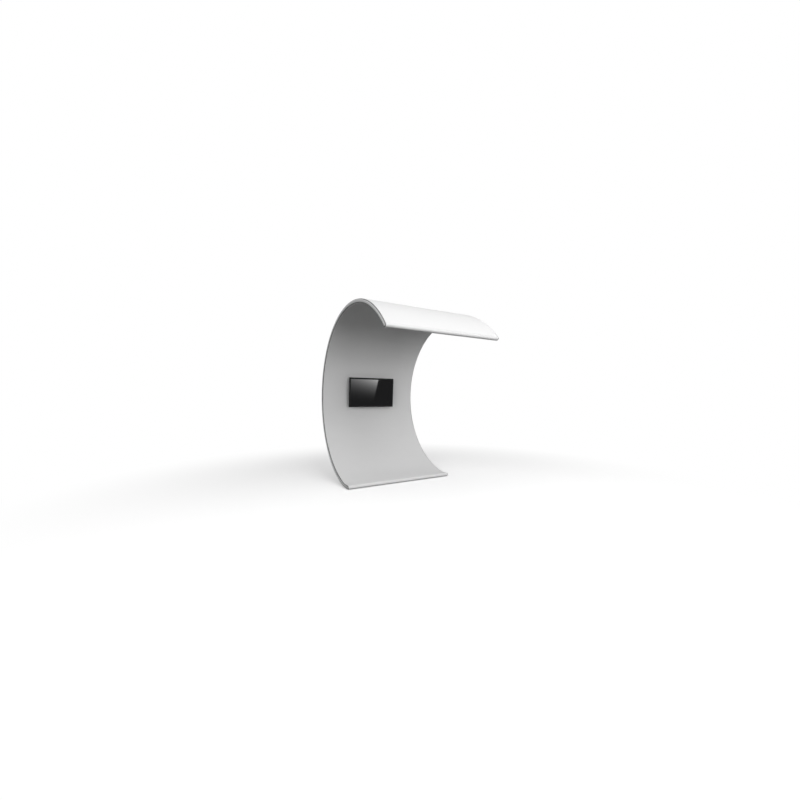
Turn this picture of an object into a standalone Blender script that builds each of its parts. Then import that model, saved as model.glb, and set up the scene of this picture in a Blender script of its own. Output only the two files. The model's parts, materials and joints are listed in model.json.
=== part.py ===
"""A curved tension-fabric display wall with a canopy lip and a screen on a tilting bracket.

Two side hoops of aluminium tube follow one large arc from a flat toe on the floor, back and up,
and forward again to the lip. Spreaders hold them apart, and a zipped fabric pillowcase with a
sewn gusset along each side is stretched over them. Two flat foot bars behind the nose carry the
weight that hangs behind it. Metres, X is the width, Y points to the back, Z is up.
"""

import math

import bmesh
import bpy
from mathutils import Matrix, Vector

# Overall form
WIDTH = 1.575
HOOP_RADIUS = 1.154
ARC_SINK = 0.0203
NOSE_SETBACK = 0.076
TOE_RADIUS = 0.500
LIP_ANGLE = math.radians(232.7)
ARC_STEPS = 32
TOE_STEPS = 3
SECTIONS = 4

# Tubes and their joints
TUBE_DIAMETER = 0.050
TUBE_WALL = 0.002
TUBE_SIDES = 12
SPREADER_SIDES = 10
HOLE_SIDES = 8
TUBE_FIT = 0.0004
JOINT_GAP = 0.0003
SPIGOT_LENGTH = 0.060
COLLAR_LENGTH = 0.032
CORNER_SPIGOT_LENGTH = 0.036
CORNER_RELIEF = 0.0002
SPREADER_DIAMETER = 0.032
STUB_LENGTH = 0.045
SPREADER_END_GAP = 0.001
LOWER_FACET = 2
UPPER_FACET = 21

# Fabric
FABRIC_THICKNESS = 0.0010
FABRIC_GAP = 0.0003
SEAM_GAP = 0.0003
WRAP_STEPS = 6

# Snap buttons
BUTTON_DIAMETER = 0.008
BUTTON_CLEARANCE = 0.0003
BUTTON_PROUD = 0.003
BUTTON_SETBACK = 0.030
BUTTON_FLANGE = 0.012
BUTTON_FLANGE_THICKNESS = 0.0012
BUTTON_TRAVEL = 0.0055
LEAF_WIDTH = 0.007
LEAF_THICKNESS = 0.0008
LEAF_REACH = 0.022

# Feet
FOOT_INSET = 0.280
FOOT_FORE = 0.268
FOOT_LENGTH = 0.770
FOOT_WIDTH = 0.080
FOOT_THICKNESS = 0.008
FOOT_CORNER = 0.018
PAD_LENGTH = 0.120
PAD_WIDTH = 0.064
PAD_THICKNESS = 0.003
PAD_INSET = 0.012
SEAT_GAP = 0.0003
RISER_DIAMETER = 0.030
RISER_WALL = 0.0025
RISER_FLANGE = 0.066
RISER_FLANGE_THICKNESS = 0.005
RISER_HOLE_CLEARANCE = 0.002
TEE_LENGTH = 0.060
TEE_WALL = 0.005
PATCH_DIAMETER = 0.080
PATCH_THICKNESS = 0.0010
KNOB_DIAMETER = 0.030
KNOB_THICKNESS = 0.012
KNOB_LOBES = 5
KNOB_POINTS = 20
KNOB_LOBE_SHARE = 0.09
CLAMP_SCREW = 0.008
CLAMP_BOSS = 0.018
CLAMP_BOSS_HEIGHT = 0.010
CLAMP_STANDOFF = 0.006
SCREW_CLEARANCE = 0.0004

# Zip under the belly
ZIP_FACET = 1
ZIP_SLOT = 0.014
ZIP_END_INSET = 0.012
TAPE_WIDTH = 0.018
TAPE_THICKNESS = 0.0009
TEETH_WIDTH = 0.0030
TEETH_HEIGHT = 0.0034
TEETH_GAP = 0.0016
SLIDER_LENGTH = 0.014
SLIDER_WIDTH = 0.011
SLIDER_PLATE = 0.0014
SLIDER_WEB = 0.0010
SLIDER_CLEARANCE = 0.0003
SLIDER_END_INSET = 0.030
BAIL_WIDTH = 0.0024
BAIL_HEIGHT = 0.0050
BAIL_THICKNESS = 0.0014
PULL_LENGTH = 0.024
PULL_WIDTH = 0.008
PULL_THICKNESS = 0.0016
PULL_CLEARANCE = 0.0004

# Screen
SCREEN_ANGLE = math.radians(94.7)
SCREEN_REST_TILT = math.radians(-1.2)
SCREEN_STANDOFF = 0.1068
SCREEN_WIDTH = 0.776
SCREEN_HEIGHT = 0.4635
SCREEN_CORNER = 0.006
BEZEL_WIDTH = 0.026
BEZEL_DEPTH = 0.009
BEZEL_LIP = 0.0022
BEZEL_WALL = 0.0025
BEZEL_SLOPE = 0.003
PANEL_THICKNESS = 0.004
PANEL_LAP = 0.006
COVER_INSET = 0.002
COVER_EDGE_DEPTH = 0.018
COVER_SHOULDER = 0.006
COVER_WALL = 0.0022
BULGE_INSET = 0.090
BULGE_SLOPE = 0.014
SCREEN_DEPTH = 0.042
VESA_PITCH = 0.200
VESA_BOSS = 0.018
VESA_BOSS_HEIGHT = 0.0015
VENT_COUNT = 11
VENT_PITCH = 0.030
VENT_WIDTH = 0.014
VENT_HEIGHT = 0.004
POWER_BUTTON_DIAMETER = 0.009
POWER_BUTTON_PROUD = 0.0020
POWER_BUTTON_TRAVEL = 0.0010
POWER_BUTTON_FLANGE = 0.013
POWER_BUTTON_INSET_X = 0.070
POWER_BUTTON_INSET_Y = 0.045
INLET_X = -0.185
INLET_Y = 0.070
INLET_WIDTH = 0.028
INLET_HEIGHT = 0.020
INLET_DEPTH = 0.014
INLET_CAVITY_WALL = 0.003
INLET_CAVITY_DEPTH = 0.009
INLET_CLEARANCE = 0.0003

# Bracket
RAIL_PITCH = 0.200
BACKING_WIDTH = 0.220
BACKING_HEIGHT = 0.250
BACKING_THICKNESS = 0.003
BACKING_CORNER = 0.012
BACKING_WINDOW_WIDTH = 0.090
BACKING_WINDOW_HEIGHT = 0.080
STUD_DIAMETER = 0.010
STUD_THREAD = 0.008
STUD_SPACING_X = 0.170
STUD_SPACING_Y = 0.130
STUD_HOLE_CLEARANCE = 0.001
STUD_END = 0.004
CLAMP_LENGTH = 0.180
CLAMP_WALL = 0.003
CLAMP_EAR = 0.016
CLAMP_SPLIT = 0.0024
CLAMP_STEPS = 10
FRONT_STANDOFF = 0.0335
FRONT_WIDTH = 0.242
FRONT_HEIGHT = 0.200
FRONT_THICKNESS = 0.003
FRONT_CORNER = 0.010
FRONT_WINDOW_WIDTH = 0.110
FRONT_WINDOW_HEIGHT = 0.090
HINGE_HEIGHT = 0.0515
EAR_THICKNESS = 0.003
EAR_HALF_ROOT = 0.050
EAR_HALF_TIP = 0.014
EAR_MARGIN = 0.007
ARM_GAP = 0.0006
ARM_THICKNESS = 0.003
ARM_WIDTH = 0.030
ARM_HEIGHT = 0.250
ARM_TIP_DEPTH = 0.008
ARM_NOSE_HALF = 0.010
ARM_NOSE_DEPTH = 0.009
VESA_SLOT_DIAMETER = 0.0066
TILT_SCREW = 0.008
TILT_KNOB_DIAMETER = 0.025
TILT_KNOB_THICKNESS = 0.013
TILT_KNOB_GAP = 0.0004

# Modelling allowances
OVERRUN = 0.004
MERGE = 0.00002

# Derived sizes
TUBE_RADIUS = TUBE_DIAMETER / 2
EDGE = TUBE_RADIUS + FABRIC_GAP + FABRIC_THICKNESS
CLOTH_OFFSET = EDGE - FABRIC_THICKNESS / 2
HOOP_X = WIDTH / 2 - EDGE
SIDE_STEP = math.radians(360 / TUBE_SIDES)
SPIGOT_RADIUS = TUBE_RADIUS - TUBE_WALL / math.cos(SIDE_STEP / 2) - TUBE_FIT
SPREADER_RADIUS = SPREADER_DIAMETER / 2
STUB_RADIUS = SPREADER_RADIUS - TUBE_WALL / math.cos(math.pi / SPREADER_SIDES) - TUBE_FIT
CENTRE_HEIGHT = HOOP_RADIUS + EDGE - ARC_SINK
TOE_DROP = CENTRE_HEIGHT - EDGE - TOE_RADIUS
TOE_RUN = math.sqrt((HOOP_RADIUS - TOE_RADIUS) ** 2 - TOE_DROP**2)
ARC_START = math.atan2(TOE_RUN, TOE_DROP)
ARC_END = LIP_ANGLE - EDGE / HOOP_RADIUS
ARC_STEP = (ARC_END - ARC_START) / ARC_STEPS
STEPS_EACH = ARC_STEPS // SECTIONS
HALF_CHORD = HOOP_RADIUS * math.sin(ARC_STEP / 2)
FLATNESS = math.cos(ARC_STEP / 2)
CLOTH_FACE = CLOTH_OFFSET * FLATNESS + FABRIC_THICKNESS / 2
NOSE_Y = NOSE_SETBACK + EDGE
LIP_REACH = EDGE - HOOP_RADIUS * math.sin(ARC_END)
ARC_Y = (LIP_REACH - HOOP_RADIUS - EDGE) / 2
ARC_CENTRE = Vector((0, ARC_Y, CENTRE_HEIGHT))
TOE_CENTRE = Vector((0, TOE_RUN, -TOE_DROP))
NOSE = Vector((0, NOSE_Y, EDGE - CENTRE_HEIGHT))
LIP = Vector((0, HOOP_RADIUS * math.sin(ARC_END), -HOOP_RADIUS * math.cos(ARC_END)))
SIDES = {"left": -1, "right": 1}

# Turns an outline drawn in XY so that it lies in the YZ plane, with its thickness along X.
ACROSS = Matrix(((0, 0, 1, 0), (1, 0, 0, 0), (0, 1, 0, 0), (0, 0, 0, 1)))


def collection(name):
    made = bpy.data.collections.new(name)
    bpy.context.scene.collection.children.link(made)
    return made


for old in list(bpy.data.objects):
    bpy.data.objects.remove(old, do_unlink=True)

PARTS = collection("wave_fabric_display_wall")
CUTTERS = collection("cutters")

FINISHES = {
    "fabric": ((0.80, 0.80, 0.81), 0.75, 0.0),
    "tube": ((0.62, 0.63, 0.65), 0.32, 1.0),
    "cast": ((0.30, 0.31, 0.33), 0.45, 1.0),
    "steel": ((0.70, 0.71, 0.73), 0.25, 1.0),
    "powder": ((0.06, 0.06, 0.065), 0.55, 0.0),
    "rubber": ((0.03, 0.03, 0.03), 0.85, 0.0),
    "plastic": ((0.02, 0.02, 0.022), 0.42, 0.0),
    "glass": ((0.010, 0.010, 0.012), 0.06, 0.0),
    "tape": ((0.70, 0.70, 0.72), 0.80, 0.0),
}


def paint(obj, finish):
    colour, roughness, metallic = FINISHES[finish]
    made = bpy.data.materials.new(f"{obj.name}_{finish}")
    made.use_nodes = True
    shader = made.node_tree.nodes["Principled BSDF"]
    shader.inputs["Base Color"].default_value = (*colour, 1.0)
    shader.inputs["Roughness"].default_value = roughness
    shader.inputs["Metallic"].default_value = metallic
    obj.data.materials.clear()
    obj.data.materials.append(made)


def place(obj, matrix, parent):
    """Puts the object at this matrix, which is local to its parent if it has one."""
    obj.parent = parent
    obj.matrix_basis = matrix


def part(name, mesh, finish, matrix=Matrix(), parent=None, smooth=True):
    obj = bpy.data.objects.new(name, mesh)
    PARTS.objects.link(obj)
    place(obj, matrix, parent)
    if smooth:
        mesh.shade_smooth()
        mesh.set_sharp_from_angle(angle=math.radians(35))
    paint(obj, finish)
    return obj


def cutter(name, mesh, matrix=Matrix(), parent=None):
    obj = bpy.data.objects.new(name, mesh)
    CUTTERS.objects.link(obj)
    place(obj, matrix, parent)
    obj.hide_render = True
    obj.display_type = "WIRE"
    return obj


def empty(name, matrix, parent=None):
    obj = bpy.data.objects.new(name, None)
    PARTS.objects.link(obj)
    place(obj, matrix, parent)
    return obj


def combine(obj, other, operation):
    modifier = obj.modifiers.new(f"{operation.lower()}_{other.name}", "BOOLEAN")
    modifier.operation = operation
    modifier.solver = "EXACT"
    modifier.object = other


def thicken(obj, thickness, offset):
    modifier = obj.modifiers.new("wall", "SOLIDIFY")
    modifier.thickness = thickness
    modifier.offset = offset
    modifier.use_even_offset = True


def mesh_of(bm, name):
    bmesh.ops.recalc_face_normals(bm, faces=bm.faces)
    mesh = bpy.data.meshes.new(name)
    bm.to_mesh(mesh)
    bm.free()
    return mesh


class Sweep:
    """An open surface drawn by moving a row of edges along straights and turns."""

    def __init__(self, points, closed=False, matrix=Matrix()):
        self.bm = bmesh.new()
        verts = [self.bm.verts.new(matrix @ Vector(p)) for p in points]
        following = verts[1:] + (verts[:1] if closed else [])
        edges = [self.bm.edges.new(pair) for pair in zip(verts, following)]
        self.end = verts + edges

    def spin(self, centre, angle, steps, shift, axis=(1, 0, 0)):
        made = bmesh.ops.spin(
            self.bm, geom=self.end, cent=centre, axis=axis, angle=angle, steps=steps, dvec=shift
        )
        self.end = made["geom_last"]
        return self

    def move(self, shift):
        return self.spin((0, 0, 0), 0, 1, shift)

    def turn(self, centre, angle, steps, axis=(1, 0, 0)):
        return self.spin(centre, angle, steps, (0, 0, 0), axis)

    def slide(self, shift):
        """Moves the end row itself, without a new one."""
        for vert in (v for v in self.end if isinstance(v, bmesh.types.BMVert)):
            vert.co += shift
        return self

    def shrink(self, share):
        """Steps in towards the middle of the end ring, in its own plane."""
        self.move((0, 0, 0))
        verts = [v for v in self.end if isinstance(v, bmesh.types.BMVert)]
        middle = sum((v.co for v in verts), Vector()) / len(verts)
        for vert in verts:
            vert.co = middle + (vert.co - middle) * share
        return self

    def cap(self):
        bmesh.ops.holes_fill(self.bm, edges=self.bm.edges, sides=0)
        return self

    def mesh(self, name):
        bmesh.ops.remove_doubles(self.bm, verts=self.bm.verts, dist=MERGE)
        return mesh_of(self.bm, name)


def circle(radius, sides=TUBE_SIDES):
    """A ring in the XZ plane, with a corner straight up."""
    turns = [2 * math.pi * i / sides for i in range(sides)]
    return [(radius * math.sin(t), 0, radius * math.cos(t)) for t in turns]


def rod(name, radius, length, sides=TUBE_SIDES):
    """A closed cylinder from the origin along +Y."""
    return Sweep(circle(radius, sides), closed=True).move((0, length, 0)).cap().mesh(name)


def plate(name, width, height, thickness, corner=0.0, segments=2):
    """A flat plate centred in XY, from z = 0 up, with its upright corners rounded."""
    bm = bmesh.new()
    bmesh.ops.create_cube(bm, size=1.0)
    bmesh.ops.translate(bm, verts=bm.verts, vec=(0, 0, 1 / 2))
    bmesh.ops.scale(bm, verts=bm.verts, vec=(width, height, thickness))
    if corner:
        upright = [e for e in bm.edges if abs(e.verts[0].co.z - e.verts[1].co.z) > thickness / 2]
        bmesh.ops.bevel(
            bm, geom=upright, offset=corner, segments=segments, profile=0.5, affect="EDGES"
        )
    return mesh_of(bm, name)


def prism(name, outline, thickness):
    """A flat closed outline in XY, as thick as this about z = 0."""
    curve = bpy.data.curves.new(name, "CURVE")
    curve.dimensions = "2D"
    curve.fill_mode = "BOTH"
    curve.extrude = thickness / 2
    spline = curve.splines.new("POLY")
    spline.points.add(len(outline) - 1)
    for point, (x, y) in zip(spline.points, outline):
        point.co = (x, y, 0, 1)
    spline.use_cyclic_u = True
    guide = bpy.data.objects.new(name, curve)
    CUTTERS.objects.link(guide)
    graph = bpy.context.evaluated_depsgraph_get()
    mesh = bpy.data.meshes.new_from_object(guide.evaluated_get(graph))
    bpy.data.objects.remove(guide)
    bpy.data.curves.remove(curve)
    bm = bmesh.new()
    bm.from_mesh(mesh)
    bmesh.ops.remove_doubles(bm, verts=bm.verts, dist=MERGE)
    bpy.data.meshes.remove(mesh)
    return mesh_of(bm, name)


def loft(name, rings):
    """Joins rings of equally many points in order, and closes the last one."""
    bm = bmesh.new()
    rows = [[bm.verts.new(p) for p in ring] for ring in rings]
    for low, high in zip(rows, rows[1:]):
        for i in range(len(low)):
            bm.faces.new((low[i - 1], low[i], high[i], high[i - 1]))
    bm.faces.new(rows[-1])
    return mesh_of(bm, name)


def turned(obj_name, profile, finish, matrix, parent=None, steps=8):
    """Revolves (radius, height) points, listed from the top centre down the outer side."""
    mesh = bpy.data.meshes.new(obj_name)
    points = [(radius, 0, height) for radius, height in profile]
    mesh.from_pydata(points, [(i, i + 1) for i in range(len(points) - 1)], [])
    obj = part(obj_name, mesh, finish, matrix, parent, smooth=False)
    screw = obj.modifiers.new("revolve", "SCREW")
    screw.axis = "Z"
    screw.steps = steps
    screw.render_steps = steps
    screw.use_merge_vertices = True
    screw.merge_threshold = MERGE
    screw.use_smooth_shade = True
    return obj


def star(name, diameter, thickness):
    """The lobed outline of a hand knob, lying in XY."""
    outline = []
    for i in range(KNOB_POINTS):
        turn = 2 * math.pi * i / KNOB_POINTS
        radius = diameter / 2 * (1 - KNOB_LOBE_SHARE + KNOB_LOBE_SHARE * math.cos(KNOB_LOBES * turn))
        outline.append((radius * math.cos(turn), radius * math.sin(turn)))
    return prism(name, outline, thickness)


def arc_frame(angle, inward=0.0, x=0.0):
    """World frame on the hoops' line: +Y along it, +Z towards the arc's centre, +X across."""
    return (
        Matrix.Translation(ARC_CENTRE + Vector((x, 0, 0)))
        @ Matrix.Rotation(angle, 4, "X")
        @ Matrix.Translation((0, 0, inward - HOOP_RADIUS))
    )


def facet_frame(facet, x=0.0):
    """World frame in the middle of one flat facet of the line that tubes and fabric share."""
    middle = ARC_START + ARC_STEP * (facet + 1 / 2)
    return arc_frame(middle, HOOP_RADIUS * (1 - FLATNESS), x)


def aim(axis):
    """Rotation that turns +Y to this direction."""
    return Vector((0, 1, 0)).rotation_difference(Vector(axis)).to_matrix().to_4x4()


def ring_at(angle, x):
    """Frame, seen from the arc's centre, of a ring across the hoop at this angle."""
    return (
        Matrix.Translation((x, 0, 0))
        @ Matrix.Rotation(angle, 4, "X")
        @ Matrix.Translation((0, 0, -HOOP_RADIUS))
    )


def along_facet(facet, length):
    middle = ARC_START + ARC_STEP * (facet + 1 / 2)
    return Vector((0, math.cos(middle), math.sin(middle))) * length


def hoop_section(name, side, index):
    """One bent tube, with the spigot that enters the next section swaged on its upper end."""
    first = index * STEPS_EACH
    last = first + STEPS_EACH
    x = side * HOOP_X
    if index == 0:
        start = Matrix.Translation(NOSE + Vector((x, COLLAR_LENGTH + JOINT_GAP, 0)))
        sweep = Sweep(circle(TUBE_RADIUS), True, start)
        sweep.move((0, TOE_RUN - NOSE_Y - COLLAR_LENGTH - JOINT_GAP, 0))
        sweep.turn(TOE_CENTRE, ARC_START, TOE_STEPS)
        sweep.turn((0, 0, 0), ARC_STEP, 1)
    else:
        gap_angle = JOINT_GAP / HOOP_RADIUS
        start = ring_at(ARC_START + ARC_STEP * first + gap_angle, x)
        sweep = Sweep(circle(TUBE_RADIUS), True, start)
        sweep.turn((0, 0, 0), ARC_STEP - gap_angle, 1)
    sweep.turn((0, 0, 0), ARC_STEP * (STEPS_EACH - 1), STEPS_EACH - 1)
    if index < SECTIONS - 1:
        sweep.shrink(SPIGOT_RADIUS / TUBE_RADIUS)
        sweep.move(along_facet(last, SPIGOT_LENGTH))
    else:
        sweep.slide(-along_facet(last - 1, COLLAR_LENGTH + JOINT_GAP))
    obj = part(name, sweep.mesh(name), "tube", Matrix.Translation(ARC_CENTRE))
    thicken(obj, TUBE_WALL, -1)
    return obj


def button_frame(joint, side):
    """The snap button's frame at a joint: +Z points in, from the hoop towards the other one."""
    along = BUTTON_SETBACK - HALF_CHORD
    facet = facet_frame(joint * STEPS_EACH, side * HOOP_X)
    inward = Matrix.Rotation(-side * math.pi / 2, 4, "Y")
    return facet @ Matrix.Translation((0, along, 0)) @ inward


def add_stub(hoop, name, frame, side):
    """Welds on the short spigot that a spreader slides over."""
    start = STUB_RADIUS
    length = TUBE_RADIUS + STUB_LENGTH - start
    mesh = rod(name, STUB_RADIUS, length, SPREADER_SIDES)
    stub = cutter(name, mesh, frame @ aim((-side, 0, 0)) @ Matrix.Translation((0, start, 0)))
    combine(hoop, stub, "UNION")


def spreader(name, frame, diameter, reach, sides):
    """A straight tube across, centred, from -reach to +reach."""
    sweep = Sweep(circle(diameter / 2, sides), True, Matrix.Rotation(-math.pi / 2, 4, "Z"))
    sweep.move((2 * reach, 0, 0))
    obj = part(name, sweep.mesh(name), "tube", frame @ Matrix.Translation((-reach, 0, 0)))
    thicken(obj, TUBE_WALL, -1)
    return obj


def stepped_spigot(name, direction):
    """A tube-sized collar and then a spigot, from a ring across +Y in this near direction."""
    sweep = Sweep(circle(TUBE_RADIUS), True).move(direction * COLLAR_LENGTH)
    sweep.shrink(SPIGOT_RADIUS / TUBE_RADIUS).move(direction * CORNER_SPIGOT_LENGTH)
    return sweep.cap().mesh(name)


def corner_fitting(name, side, frame, direction):
    """A ball with two spigots: one enters the hoop's end, one the end spreader."""
    ahead = Vector((0, 1, 0))
    toward_hoop = frame.to_3x3().inverted() @ direction
    bm = bmesh.new()
    bmesh.ops.create_uvsphere(
        bm, u_segments=TUBE_SIDES, v_segments=TUBE_SIDES // 2, radius=TUBE_RADIUS - CORNER_RELIEF
    )
    obj = part(name, mesh_of(bm, name), "cast", frame)
    mesh = stepped_spigot(f"{name}_hoop_spigot", toward_hoop)
    along = cutter(f"{name}_hoop_spigot", mesh, frame)
    mesh = stepped_spigot(f"{name}_spreader_spigot", ahead)
    across = cutter(f"{name}_spreader_spigot", mesh, frame @ aim((-side, 0, 0)))
    combine(obj, along, "UNION")
    combine(obj, across, "UNION")
    return obj


def nose_frame(x):
    return Matrix.Translation(ARC_CENTRE + NOSE + Vector((x, 0, 0)))


def lip_frame(x):
    """At the lip tube's middle line, with +Y back along the arc."""
    at_lip = Matrix.Translation(ARC_CENTRE + LIP + Vector((x, 0, 0)))
    return at_lip @ Matrix.Rotation(ARC_END + math.pi, 4, "X")


def screen_frame():
    """On the plane through both screen rails: +Y up the wall, +Z towards the viewer."""
    half_angle = math.asin(RAIL_PITCH / 2 / HOOP_RADIUS)
    return arc_frame(SCREEN_ANGLE, HOOP_RADIUS * (1 - math.cos(half_angle)))


SCREEN_FRAME = screen_frame()
RAIL_SINK = HOOP_RADIUS - math.sqrt(HOOP_RADIUS**2 - (RAIL_PITCH / 2) ** 2)
SCREEN_FACE = SCREEN_STANDOFF - RAIL_SINK
HINGE_Z = HINGE_HEIGHT - RAIL_SINK
FRONT_Z = FRONT_STANDOFF - RAIL_SINK


def rail_frame(offset, x=0.0):
    return SCREEN_FRAME @ Matrix.Translation((x, offset, 0))


def build_hoops():
    names = ("base", "lower", "upper", "canopy")
    for word, side in SIDES.items():
        x = side * HOOP_X
        hoops = [hoop_section(f"hoop_{n}_{word}", side, i) for i, n in enumerate(names)]
        places = (
            (hoops[0], "lower_stub", facet_frame(LOWER_FACET, x)),
            (hoops[1], "low_rail_stub", rail_frame(-RAIL_PITCH / 2, x)),
            (hoops[1], "high_rail_stub", rail_frame(RAIL_PITCH / 2, x)),
            (hoops[2], "upper_stub", facet_frame(UPPER_FACET, x)),
        )
        for hoop, stub, frame in places:
            add_stub(hoop, f"{stub}_{word}", frame, side)
        # A flat of the hole, not a corner, meets the tube's ridge.
        flat_on = aim((0, 0, 1)) @ Matrix.Rotation(math.pi / HOLE_SIDES, 4, "Y")
        radius = BUTTON_DIAMETER / 2 + 2 * BUTTON_CLEARANCE
        for joint, level in enumerate(("low", "middle", "high"), start=1):
            drill = rod("hole", radius, TUBE_RADIUS + OVERRUN, HOLE_SIDES)
            frame = button_frame(joint, side) @ flat_on
            hole = cutter(f"button_hole_{level}_{word}", drill, frame)
            combine(hoops[joint - 1], hole, "DIFFERENCE")
            combine(hoops[joint], hole, "DIFFERENCE")
            snap_button(f"snap_button_{level}_{word}", button_frame(joint, side))
        back = -along_facet(ARC_STEPS - 1, 1)
        corner_fitting(f"corner_nose_{word}", side, nose_frame(x), Vector((0, 1, 0)))
        corner_fitting(f"corner_lip_{word}", side, lip_frame(x), back)


def snap_button(name, frame):
    """A domed button with a flange inside the spigot, riveted to one leg of a bent leaf spring."""
    radius = BUTTON_DIAMETER / 2
    top = TUBE_RADIUS + BUTTON_PROUD
    bore = SPIGOT_RADIUS - TUBE_WALL / math.cos(SIDE_STEP / 2)
    seat = bore - BUTTON_FLANGE / 2 * math.tan(SIDE_STEP / 2) - SEAT_GAP
    under = seat - BUTTON_FLANGE_THICKNESS
    rim = BUTTON_FLANGE / 2
    dome = radius * math.tan(math.radians(30))
    profile = (
        (0, top),
        (radius * math.sin(math.radians(35)), top - dome / 4),
        (radius, top - dome),
        (radius, seat),
        (rim, seat),
        (rim, under),
        (0, under),
    )
    obj = turned(name, profile, "steel", frame)
    leg = (under + bore - BUTTON_TRAVEL) / 2
    bend = LEAF_REACH / 2
    row = ((-LEAF_WIDTH / 2, -bend / 2, under), (LEAF_WIDTH / 2, -bend / 2, under))
    leaf = Sweep(row).move((0, bend, 0)).move((0, bend, -leg / 2))
    leaf.move((0, LEAF_THICKNESS, -LEAF_THICKNESS)).move((0, -bend, -leg / 2))
    spring = cutter(f"{name}_leaf", leaf.mesh(f"{name}_leaf"), frame)
    thicken(spring, LEAF_THICKNESS, 0)
    combine(obj, spring, "UNION")
    return obj


def build_spreaders():
    stub_reach = HOOP_X - TUBE_RADIUS - SPREADER_END_GAP
    corner_reach = HOOP_X - COLLAR_LENGTH - JOINT_GAP
    spreader("spreader_nose", nose_frame(0), TUBE_DIAMETER, corner_reach, TUBE_SIDES)
    spreader("spreader_lip", lip_frame(0), TUBE_DIAMETER, corner_reach, TUBE_SIDES)
    inner = (
        ("spreader_lower", facet_frame(LOWER_FACET)),
        ("screen_rail_lower", rail_frame(-RAIL_PITCH / 2)),
        ("screen_rail_upper", rail_frame(RAIL_PITCH / 2)),
        ("spreader_upper", facet_frame(UPPER_FACET)),
    )
    for name, frame in inner:
        spreader(name, frame, SPREADER_DIAMETER, stub_reach, SPREADER_SIDES)


def riser_axis(side):
    """World point where the riser's upright line meets the lower spreader's line."""
    return facet_frame(LOWER_FACET, side * (WIDTH / 2 - FOOT_INSET)).to_translation()


def knob(name, diameter, thickness, screw_diameter, screw_length, matrix, parent=None):
    """A lobed hand knob about +Y, standing off the origin by its screw."""
    upright = Matrix.Rotation(-math.pi / 2, 4, "X")
    body = Matrix.Translation((0, thickness / 2, 0)) @ upright
    mesh = star(name, diameter, thickness)
    mesh.transform(body)
    obj = part(name, mesh, "plastic", matrix, parent, smooth=False)
    shaft = rod(f"{name}_screw", screw_diameter / 2, screw_length + thickness / 2)
    back = Matrix.Translation((0, -screw_length, 0))
    screw = cutter(f"{name}_screw", shaft, matrix @ back, parent)
    combine(obj, screw, "UNION")
    return obj


def build_foot(word, side):
    top = PAD_THICKNESS + SEAT_GAP + FOOT_THICKNESS
    anchor = riser_axis(side)
    x = anchor.x
    middle_y = anchor.y - FOOT_FORE + FOOT_LENGTH / 2
    name = f"foot_bar_{word}"
    bar = plate(name, FOOT_WIDTH, FOOT_LENGTH, FOOT_THICKNESS, FOOT_CORNER, 3)
    part(name, bar, "powder", Matrix.Translation((x, middle_y, PAD_THICKNESS + SEAT_GAP)))
    for end, sign in (("front", -1), ("rear", 1)):
        name = f"foot_pad_{end}_{word}"
        y = middle_y + sign * (FOOT_LENGTH / 2 - PAD_INSET - PAD_LENGTH / 2)
        pad = plate(name, PAD_WIDTH, PAD_LENGTH, PAD_THICKNESS, FOOT_CORNER / 2)
        part(name, pad, "rubber", Matrix.Translation((x, y, 0)))
    name = f"foot_riser_{word}"
    foot = Matrix.Translation((x, anchor.y, top + SEAT_GAP))
    up = foot @ aim((0, 0, 1))
    riser = part(name, rod(name, RISER_FLANGE / 2, RISER_FLANGE_THICKNESS, 16), "powder", up)
    post_height = anchor.z - top - SEAT_GAP
    post = rod("post", RISER_DIAMETER / 2, post_height)
    combine(riser, cutter(f"{name}_post", post, up), "UNION")
    tee_radius = SPREADER_RADIUS + TUBE_FIT + TEE_WALL
    spreader_axis = facet_frame(LOWER_FACET, x)
    across = spreader_axis @ aim((1, 0, 0)) @ Matrix.Translation((0, -TEE_LENGTH / 2, 0))
    tee = cutter(f"{name}_tee", rod("tee", tee_radius, TEE_LENGTH), across)
    combine(riser, tee, "UNION")
    toward_zip = spreader_axis @ aim((0, -1, 0))
    boss_length = tee_radius + CLAMP_BOSS_HEIGHT
    boss = cutter(f"{name}_boss", rod("boss", CLAMP_BOSS / 2, boss_length), toward_zip)
    combine(riser, boss, "UNION")
    hollow_height = post_height - tee_radius
    hollow = rod("hollow", RISER_DIAMETER / 2 - RISER_WALL, hollow_height + OVERRUN)
    down = up @ Matrix.Translation((0, -OVERRUN, 0))
    combine(riser, cutter(f"{name}_hollow", hollow, down), "DIFFERENCE")
    run = Matrix.Translation((0, -TEE_LENGTH / 2 - OVERRUN, 0))
    bore = rod("bore", SPREADER_RADIUS + TUBE_FIT, TEE_LENGTH + 2 * OVERRUN, SPREADER_SIDES)
    combine(riser, cutter(f"{name}_bore", bore, spreader_axis @ aim((1, 0, 0)) @ run), "DIFFERENCE")
    thread = rod("thread", CLAMP_SCREW / 2 + SCREW_CLEARANCE, boss_length + OVERRUN, 8)
    combine(riser, cutter(f"{name}_thread", thread, toward_zip), "DIFFERENCE")
    knob_base = boss_length + CLAMP_STANDOFF
    knob(
        f"riser_knob_{word}",
        KNOB_DIAMETER,
        KNOB_THICKNESS,
        CLAMP_SCREW,
        knob_base - SPREADER_RADIUS - SEAT_GAP,
        toward_zip @ Matrix.Translation((0, knob_base, 0)),
    )


def riser_hole(word, side):
    """The upright round hole that a riser passes through, cut in panel and patch alike."""
    anchor = riser_axis(side)
    radius = RISER_DIAMETER / 2 + RISER_HOLE_CLEARANCE
    mesh = rod(f"riser_hole_{word}", radius, anchor.z, 16)
    below = Matrix.Translation((anchor.x, anchor.y, 0)) @ aim((0, 0, 1))
    return cutter(f"riser_hole_{word}", mesh, below)


def panel_row(x):
    return [(-x, 0, 0), (x, 0, 0)]


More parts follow.
